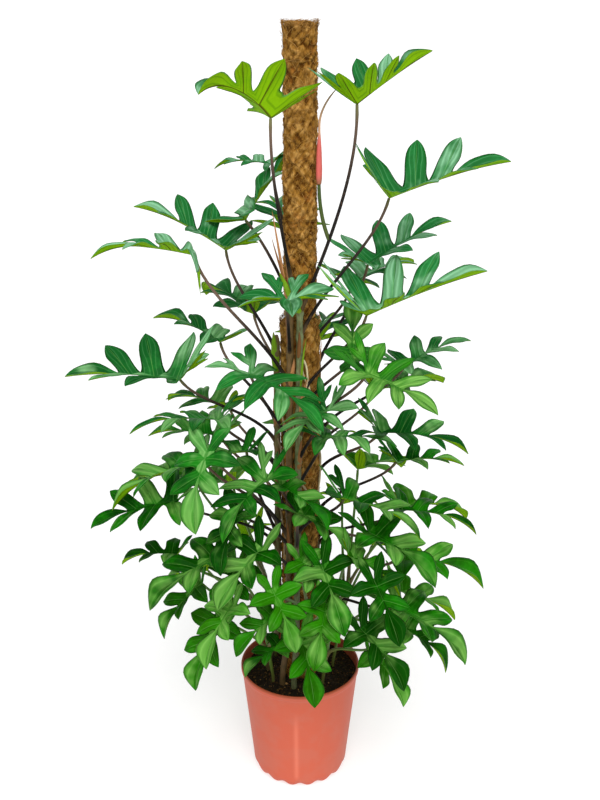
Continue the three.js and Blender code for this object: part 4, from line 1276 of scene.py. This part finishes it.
def leaf_skin(colours):
    """Leathery blades: deep greens that vary from leaf to leaf and lobe to lobe, bluer high up and
    yellower low down, patches of painted sheen in the middle of the half lobes, painted shade where
    the lobes meet, faint streaks that run out along each lobe, a thin pale rib, a dark margin with a
    pale rim, and a bright yellow-green underside, partly painted light shining through the blade,
    with darker veins."""
    paint = Paint("leaf_skin")
    across, run, lobe_tone = paint.painted("vein")
    side, tone, youth = paint.painted("leaf")
    place = paint.place()
    cloud = paint.noise(place, 22.0, 3.0)
    patch = paint.noise(place, 19.0, 2.0)
    mottle = paint.noise(place, 190.0, 3.0)
    high = paint.height().ramp(0.6, 1.1)
    streaks = (across * 15.0 - run * 75.0 + cloud * 6.0).sine() * 0.5 + 0.5
    amount = tone * 0.5 + lobe_tone * 0.4 + (cloud - 0.5) * 1.6 + (mottle - 0.5) * 0.4
    bluer = high * (1.0 - youth)
    fresh = paint.mix(bluer, colours.fresh, colours.cool)
    # the colour of the painted sheen: pale green on low blades, bluish on high ones
    light = paint.mix(bluer, colours.pale, colours.painted_sheen)
    middle = across.ramp(0.0, 0.3) * (1.0 - across.ramp(0.45, 0.95))
    # where the patches of painted sheen lie
    where = (lobe_tone * 0.42 + patch * 0.8 + tone * 0.1 + high * 0.08).ramp(0.64, 0.84)
    top = paint.layers(
        colours.deep,
        (high * 0.55, colours.cool),
        (amount.ramp(0.1, 0.8), fresh),
        (youth * (0.05 + 0.45 * tone), colours.young),
        # painted sheen: pale patches in the middle of the half lobes
        ((0.7 + 0.2 * high) * where * (0.25 + 0.6 * middle + 0.15 * streaks), light),
        # painted shade where the lobes meet, at the roots of their ribs
        ((1.0 - run.ramp(0.05, 0.4)) * (0.3 - 0.18 * high), colours.deep),
        ((1.0 - streaks) * (0.08 + 0.14 * high), colours.deep),
        # painted sheen along the brightest streaks, stronger high up and in the sheen patches
        (streaks.ramp(0.9, 1.0) * (0.04 + 0.1 * high + 0.12 * where), light),
        ((1.0 - across.ramp(0.012, 0.05)) * 0.35, colours.rib),
        (across.ramp(0.7, 0.9) * 0.4, colours.deep),
        ((across - 0.93).ramp(0.0, 0.05) * (0.2 + 0.4 * lobe_tone), colours.pale),
    )
    # the underside: its own paler yellow-green, brightened by painted light shining through the blade
    under = paint.layers(
        colours.under,
        (streaks.ramp(0.7, 1.0) * 0.5, colours.under_deep),
        (cloud.ramp(0.5, 0.7) * 0.25, colours.fresh),
        ((1.0 - across.ramp(0.03, 0.09)) * 0.8, shade(64, 46, 10)),
    )
    body = paint.mix(side, under, top)
    gloss = 0.38 + 0.14 * mottle + (1.0 - side) * 0.2
    return paint.finish(body, gloss, streaks * 0.35 + mottle * 0.25, 0.8, specular=0.03)


def leaf_material():
    """The blades' material, made when it is first asked for."""
    return bpy.data.materials.get("leaf_skin") or leaf_skin(project().leaves)


# Growing tip and aerial roots


def tip_stem_path():
    """The slim stem that forks off the first leaf's stalk: (1 - t)^2 fork + 2 t (1 - t) bend +
    t^2 seat."""
    stalk = stalk_path(LEAVES[0], 101)
    t = np.linspace(0, 1, 16)[:, None]
    fork = stalk[round(100 * TIP_FORK)]
    return (1 - t) ** 2 * fork + 2 * t * (1 - t) * np.array(TIP_BEND) + t ** 2 * np.array(TIP_SEAT)


def tip_skin():
    """The sheath and the rolled leaf: one bar that hooks over as the square of its height above a
    level, wide in the sheath, pinched at its mouth and thin in the rolled leaf."""
    seat = np.array(TIP_SEAT, float)
    height = np.linspace(0, TIP_LENGTH, 80)
    hook = TIP_HOOK * np.maximum(height - TIP_HOOK_FROM, 0) ** 2
    stops = [0, 8, 24, 52, 78, 86, 112, 140, TIP_LENGTH]
    widths = [4.0, 5.1, 5.5, 4.5, 2.6, 1.9, 1.9, 1.5, 0.35]
    points, faces, run = bar(seat + values(hook, 0, height + 0.3), np.interp(height, stops, widths), 18)
    angle = np.arctan2(points[:, 1] - seat[1], points[:, 0] - seat[0])
    return points, faces, values(run, angle / (2 * np.pi) + 0.5, 0)


def sheath_skin():
    """Pink-red sheath with fine lengthwise ribs, turning tan, brown and at last green up the rolled
    leaf."""
    paint = Paint("sheath_skin")
    run, _, _ = paint.painted("growth")
    rib = paint.noise(paint.stretch(paint.place(), (1, 1, 0.05)), 900.0, 2.0)
    body = paint.layers(
        shade(150, 92, 60),
        (run.ramp(0.0, 0.12), shade(206, 92, 84)),
        (run.ramp(0.42, 0.56), shade(196, 150, 110)),
        (run.ramp(0.6, 0.8), shade(140, 118, 88)),
        (run.ramp(0.9, 1.0), shade(110, 140, 80)),
        ((rib - 0.4) * 0.7, shade(120, 52, 40)),
    )
    return paint.finish(body, 0.45, rib, 0.3, specular=0.45)


# each root: its stem, height, how far it runs down, how far it swings round the pole in degrees,
# and how pale it is from 0 to 1
ROOTS = [
    ("centre", 905, 95, 40, 1.0),
    ("front", 1010, 40, -38, 0.2),
    ("centre", 885, 70, 34, 0.7),
    ("front", 800, 110, 20, 0.5),
    ("front", 765, 80, -40, 0.2),
    ("centre", 800, 90, 58, 0.4),
    ("centre", 660, 90, 50, 0.3),
    ("front", 560, 90, -30, 0.3),
    ("right", 890, 70, -48, 0.2),
    ("right", 850, 90, -62, 0.3),
    ("right", 700, 80, -70, 0.6),
    ("left", 820, 90, 40, 0.6),
    ("left", 740, 110, 45, 0.2),
    ("left", 610, 90, 40, 0.3),
    ("back", 980, 70, 50, 0.3),
    ("back", 860, 100, -40, 0.5),
    ("back", 700, 90, 70, 0.2),
]


def root_skins(sizes, pole):
    """Aerial roots: each leaves its stem, closes on the pole and runs down it with a slow wave.
    Angle and height are straight lines in s, the distance closes in as (1 - s)^3."""
    skin = Skin()
    s = np.linspace(0, 1, 30)
    for index, (stem, height, drop, swing, pale) in enumerate(ROOTS):
        start = stem_axis(stem, height)
        surface = (pole.upper if height - drop > LOWER_HIGH.z / MM else pole.lower) / MM
        angle = math.atan2(start[1], start[0]) + math.radians(swing) * s ** 0.8
        angle = angle + 0.05 * np.sin(7 * s + index)
        distance = surface + 1.4 + (math.hypot(start[0], start[1]) - surface) * (1 - s) ** 3
        level = height - drop * s ** 1.3
        thick = sizes.root / MM * (0.9 + 0.35 * scatter(index + 0.2)) * (1.15 - 0.75 * s ** 3)
        points, faces, run = bar(around(distance, angle, level), thick, 8)
        skin.add(points, faces, growth=values(run, pale, 0))
    return skin


def root_bark():
    """Aerial roots from dark brown to cream, dry and scurfy."""
    paint = Paint("root_bark")
    _, pale, _ = paint.painted("growth")
    scurf = paint.noise(paint.place(), 500.0, 4.0, 0.65)
    body = paint.layers(
        shade(88, 58, 38),
        (pale, shade(222, 206, 164)),
        (scurf.ramp(0.5, 0.75) * 0.5, shade(130, 96, 66)),
    )
    return paint.finish(body, 0.75, scurf, 0.4, specular=0.25)


# each dry sheath on a stem: its stem, the height of its foot, its length and breadth, how far
# round the stem it sits and how far it leans, in degrees, how far it stands off, and its tone
# from brown 0 over peach 0.4 and cream 0.7 to fresh green 1
SHEATHS = [
    ("front", 985, 180, 6, 0, -9, 4, 0.42),
    ("front", 1005, 115, 5, 12, -15, 5, 0.15),
    ("centre", 850, 92, 5, 30, 5, 5, 1.0),
    ("centre", 985, 78, 14, 8, -26, 6, 1.0),
    ("centre", 800, 66, 9, 42, 6, 6, 0.42),
    ("centre", 790, 76, 12, 60, 8, 8, 0.72),
    ("centre", 905, 50, 8, -20, 5, 3, 0.1),
    ("centre", 690, 60, 9, 20, 4, 4, 0.2),
    ("centre", 560, 56, 9, -10, 0, 4, 0.3),
    ("front", 1030, 48, 8, 0, -8, 3, 0.3),
    ("front", 930, 52, 9, -40, 3, 4, 0.15),
    ("front", 845, 60, 9, 30, 7, 5, 0.35),
    ("front", 730, 55, 9, -25, -3, 4, 0.55),
    ("front", 640, 60, 10, 25, 5, 5, 0.25),
    ("front", 520, 60, 9, 0, 3, 4, 0.1),
    ("left", 868, 76, 15, 70, -3, 3, 1.0),
    ("left", 820, 46, 8, 95, 4, 3, 0.15),
    ("left", 760, 58, 9, 40, 0, 4, 0.2),
    ("left", 600, 58, 9, 60, 0, 4, 0.35),
    ("right", 860, 55, 8, -60, 4, 4, 0.4),
    ("right", 700, 60, 9, -50, 0, 4, 0.2),
    ("back", 1020, 55, 8, 0, 0, 4, 0.4),
    ("back", 900, 60, 9, 20, 4, 4, 0.2),
    ("back", 760, 60, 9, -20, 0, 4, 0.5),
    ("back", 620, 60, 9, 10, 0, 4, 0.1),
]


def sheath_strips(sizes):
    """Dry leaf sheaths left on the stems. Each is a flat bar that rises from its stem: half its
    breadth times sin(pi s^0.6)^0.7 across, a hollow in front, and thin to nothing at its tip."""
    skin = Skin()
    s = np.linspace(0, 1, 26)[:, None]
    angle = circle(12)[None]
    for index, (stem, foot, length, breadth, round_to, lean, off, tone) in enumerate(SHEATHS):
        base = stem_axis(stem, foot)
        heading_out = math.atan2(base[1], base[0]) + math.radians(round_to)
        out = around(1, heading_out, 0)
        aside = np.array([-out[1], out[0], 0])
        spread = 0.5 * breadth * np.maximum(np.sin(np.pi * (0.04 + 0.96 * s) ** 0.6), 0) ** 0.7
        x = spread * np.cos(angle)
        y = (0.45 * (1 - s) + 0.12) * np.sin(angle) - 0.35 * spread * np.cos(angle) ** 2
        wave = 0.8 * np.sin(5 * s + index)
        away = sizes.vine / MM + 0.4 + off * s ** 1.6 + wave * s
        drift = length * s * math.tan(math.radians(lean)) + wave * s
        rings = base + (away + y)[..., None] * out + (drift + x)[..., None] * aside
        rings = rings + (length * s * np.ones_like(x))[..., None] * np.array([0, 0, 1])
        points, faces = closed_rings(rings)
        run = np.append(np.broadcast_to(s, x.shape).ravel(), [0, 1])
        skin.add(points, faces, growth=values(run, tone, 0))
    return skin


def sheath_paper():
    """Papery dry sheaths from brown to cream with fine lengthwise ribs, and a fresh green spear."""
    paint = Paint("dry_sheath")
    run, tone, _ = paint.painted("growth")
    rib = paint.noise(paint.stretch(paint.place(), (1, 1, 0.06)), 800.0, 3.0, 0.6)
    body = paint.layers(
        shade(104, 66, 30),
        (tone.ramp(0.0, 0.4), shade(186, 130, 82)),
        (tone.ramp(0.45, 0.75), shade(228, 200, 158)),
        (tone.ramp(0.9, 1.0), shade(112, 160, 22)),
        (rib.ramp(0.45, 0.7) * 0.5, shade(120, 78, 40)),
        (run.ramp(0.7, 1.0) * 0.3, shade(110, 74, 36)),
    )
    return paint.finish(body, 0.7, rib, 0.4, specular=0.2)


# Stage

# half the floor's side, and the round wall near its edge that hides the horizon, in metres
FLOOR_REACH = 30
COVE_RADIUS = 29
COVE_HEIGHT = 14
COVE_SIDES = 48
WORLD_STRENGTH = 0.3
LAMP_STRENGTH = 3.2
# how broad the lamp is, how far it leans from straight down, and its turn to the side, in degrees
LAMP_BREADTH = 42
LAMP_LEAN = 38
LAMP_TURN = 4
SENSOR_HEIGHT = 36


def stage_piece(name, corners, faces, material):
    """A plain surface of the stage, which isn't part of the plant."""
    mesh = bpy.data.meshes.new(name)
    mesh.from_pydata(corners, [], faces)
    mesh.materials.append(material)
    made = bpy.data.objects.new(name, mesh)
    bpy.context.scene.collection.objects.link(made)


def studio_ground(look):
    """The pale floor and the white wall round it, both a little lit from within."""
    corners = [(x * FLOOR_REACH, y * FLOOR_REACH, 0) for x, y in ((-1, -1), (1, -1), (1, 1), (-1, 1))]
    floor = Paint("studio_floor").finish(look.floor, 0.9, specular=0.0, glow=0.55)
    stage_piece("studio_floor", corners, [(0, 1, 2, 3)], floor)
    heights = np.array([[0], [COVE_HEIGHT]])
    ring = around(COVE_RADIUS, circle(COVE_SIDES), heights).reshape(-1, 3)
    cove = Paint("studio_cove").finish((0.1, 0.1, 0.1), 1.0, specular=0.0, glow=1.0)
    stage_piece("studio_cove", ring.tolist(), grid_faces(2, COVE_SIDES).tolist(), cove)


def studio_light(scene):
    """An even white world, and one very broad lamp high up on the camera's side."""
    world = bpy.data.worlds.new("studio")
    world.use_nodes = True
    sky = world.node_tree.nodes["Background"]
    sky.inputs["Color"].default_value = (1, 1, 1, 1)
    sky.inputs["Strength"].default_value = WORLD_STRENGTH
    scene.world = world
    sun = bpy.data.lights.new("broad_softbox", "SUN")
    sun.energy = LAMP_STRENGTH
    sun.angle = math.radians(LAMP_BREADTH)
    lamp = bpy.data.objects.new("broad_softbox", sun)
    lamp.rotation_euler = (math.radians(LAMP_LEAN), 0, math.radians(LAMP_TURN))
    scene.collection.objects.link(lamp)


def photo_camera(scene, look):
    """The camera in the place that the photo was taken from."""
    data = bpy.data.cameras.new("photo_camera")
    data.sensor_fit = "VERTICAL"
    data.sensor_height = SENSOR_HEIGHT
    data.lens = look.lens
    camera = bpy.data.objects.new("photo_camera", data)
    camera.location = (0, -look.camera_distance, look.camera_height)
    camera.rotation_euler = (math.pi / 2 - look.camera_tilt, 0, 0)
    scene.collection.objects.link(camera)
    scene.camera = camera


# Operators


class BuildPot(bpy.types.Operator):
    """Build the pot"""

    bl_idname = "philodendron.pot"
    bl_label = "Pot"

    def execute(self, context):
        sizes = project().pot
        points, faces, painted = pot_skin(sizes)
        skin = Skin().add(points, faces, moulding=painted)
        skin.piece("pot_moulded", [pot_plastic(sizes)], "pot", "pot")
        return {"FINISHED"}


class BuildSoil(bpy.types.Operator):
    """Build the soil and the loose crumbs on it"""

    bl_idname = "philodendron.soil"
    bl_label = "Soil"

    def execute(self, context):
        sizes = project().soil
        skin = Skin().add(*soil_skin(sizes, project().pot))
        skin.piece("soil_fill", [potting_mix(sizes)], "soil", "soil")
        points, faces, tone = loose_crumbs(sizes)
        crumbs = Skin().add(points, faces, tone=tone)
        crumbs.piece("soil_crumbs", [crumb_skin(sizes)], "soil")
        return {"FINISHED"}


class BuildPole(bpy.types.Operator):
    """Build both lengths of the coir pole and their loose strands"""

    bl_idname = "philodendron.pole"
    bl_label = "Coir pole"

    def execute(self, context):
        sizes = project().pole
        surface, strand = coir(sizes), coir_strand(sizes)
        # name, radius, bottom, top, how far apart the points of its skin are, and the strands' seed
        lengths = [
            ("lower", sizes.lower / MM, LOWER_LOW.z / MM, LOWER_HIGH.z / MM, 2.4, 21),
            ("upper", sizes.upper / MM, UPPER_LOW.z / MM, UPPER_HIGH.z / MM, 2.0, 22),
        ]
        for name, radius, bottom, top, spacing, seed in lengths:
            points, faces, painted = pole_skin(radius, bottom, top, sizes, spacing)
            skin = Skin().add(points, faces, stand=painted)
            skin.piece(f"pole_{name}_coir", [surface], "coir", f"pole_{name}")
            seen = max(bottom, project().soil.level / MM)
            points, faces, tone = coir_strands(radius, seen, top, sizes, seed)
            strands = Skin().add(points, faces, tone=tone)
            strands.piece(f"pole_{name}_strands", [strand], "coir")
        return {"FINISHED"}


class BuildVines(bpy.types.Operator):
    """Build the climbing stems with their stalks"""

    bl_idname = "philodendron.vines"
    bl_label = "Climbing stems"

    def execute(self, context):
        sizes = project().stems
        bark = vine_bark(sizes)
        for name, (_, top, tone) in VINES.items():
            points, faces, painted = stem_skin(name, top, sizes.vine / MM, VINE_FOOT, tone)
            skin = Skin().add(points, faces, growth=painted)
            add_stalks(skin, name)
            if name == LEAVES[0][0]:
                path = tip_stem_path()
                points, faces, run = bar(path, np.linspace(*TIP_STEM_WIDTHS, len(path)), 12)
                skin.add(points, faces, growth=values(0.15 * run, TIP_STEM_TONE, 1))
            skin.piece(f"vine_{name}_grown", [bark], "stem", f"vine_{name}")
        return {"FINISHED"}


class BuildBlades(bpy.types.Operator):
    """Build the blades of the climbing stems, one piece each"""

    bl_idname = "philodendron.blades"
    bl_label = "Blades"

    def execute(self, context):
        material = leaf_material()
        flat = flat_blades()
        for index, leaf in enumerate(LEAVES, 1):
            if leaf[0] in SHOOTS:
                continue
            youth = 0.35 * (1 - smoothstep(leaf[2][2], 420, 700)) + 0.1 * (leaf[5] == "young")
            skin = Skin()
            add_blade(skin, flat[leaf[5]], leaf, index, youth + FRESH_LEAVES.get(index, 0))
            skin.piece(f"leaf_{index:02d}_blade", [material], "leaf", f"leaf_{index:02d}")
        return {"FINISHED"}


class BuildShoots(bpy.types.Operator):
    """Build the green shoots with their stalks and small blades"""

    bl_idname = "philodendron.shoots"
    bl_label = "Shoots"

    def execute(self, context):
        sizes = project().stems
        stalk, blade = green_stalk(sizes), leaf_material()
        flat = flat_blades()
        for name, (_, top) in SHOOTS.items():
            points, faces, painted = stem_skin(name, top, sizes.shoot / MM, SHOOT_FOOT)
            skin = Skin().add(points, faces, growth=painted)
            add_stalks(skin, name)
            for index, leaf in enumerate(LEAVES, 1):
                if leaf[0] == name:
                    add_blade(skin, flat[leaf[5]], leaf, index, SHOOT_YOUTH, slot=1)
            skin.piece(f"{name}_grown", [stalk, blade], "leaf", name)
        return {"FINISHED"}


class BuildTip(bpy.types.Operator):
    """Build the sheath and the rolled young leaf"""

    bl_idname = "philodendron.tip"
    bl_label = "Growing tip"

    def execute(self, context):
        points, faces, painted = tip_skin()
        skin = Skin().add(points, faces, growth=painted)
        skin.piece("growing_tip_sheath", [sheath_skin()], "sheath", "growing_tip")
        return {"FINISHED"}


class BuildRoots(bpy.types.Operator):
    """Build the aerial roots on the pole and the dry sheaths on the stems"""

    bl_idname = "philodendron.roots"
    bl_label = "Roots and sheaths"

    def execute(self, context):
        root_skins(project().stems, project().pole).piece("aerial_roots", [root_bark()], "stem")
        sheath_strips(project().stems).piece("dry_sheaths", [sheath_paper()], "stem")
        return {"FINISHED"}


class BuildStage(bpy.types.Operator):
    """Build the floor, the studio light and the camera"""

    bl_idname = "philodendron.stage"
    bl_label = "Stage"

    def execute(self, context):
        look = project().stage
        studio_ground(look)
        studio_light(context.scene)
        photo_camera(context.scene, look)
        context.scene.view_settings.view_transform = "Standard"
        return {"FINISHED"}


STEPS = (
    BuildPot, BuildSoil, BuildPole, BuildVines, BuildBlades, BuildShoots, BuildTip, BuildRoots, BuildStage,
)


class PlantPanel(bpy.types.Panel):
    """The plant's sizes, colours and steps"""

    bl_idname = "VIEW3D_PT_philodendron"
    bl_label = "Philodendron"
    bl_space_type = "VIEW_3D"
    bl_region_type = "UI"
    bl_category = "Philodendron"

    def draw(self, context):
        plant = context.scene.philodendron
        for group in (plant.pot, plant.soil, plant.pole, plant.stems, plant.leaves, plant.stage):
            box = self.layout.box()
            for name in group.__annotations__:
                box.prop(group, name)
        for step in STEPS:
            self.layout.operator(step.bl_idname)


CLASSES = (
    PotSizes, SoilSizes, PoleSizes, StemSizes, LeafColours, StageLook, PlantProject, *STEPS, PlantPanel,
)


def register():
    """Adds the plant's sizes, buttons and panel to Blender."""
    for kind in CLASSES:
        bpy.utils.register_class(kind)
    bpy.types.Scene.philodendron = PointerProperty(type=PlantProject)


def unregister():
    """Takes them out again."""
    del bpy.types.Scene.philodendron
    for kind in reversed(CLASSES):
        bpy.utils.unregister_class(kind)


def main():
    """Builds everything."""
    register()
    for step in STEPS:
        group, name = step.bl_idname.split(".")
        getattr(getattr(bpy.ops, group), name)()


if __name__ == "__main__":
    main()
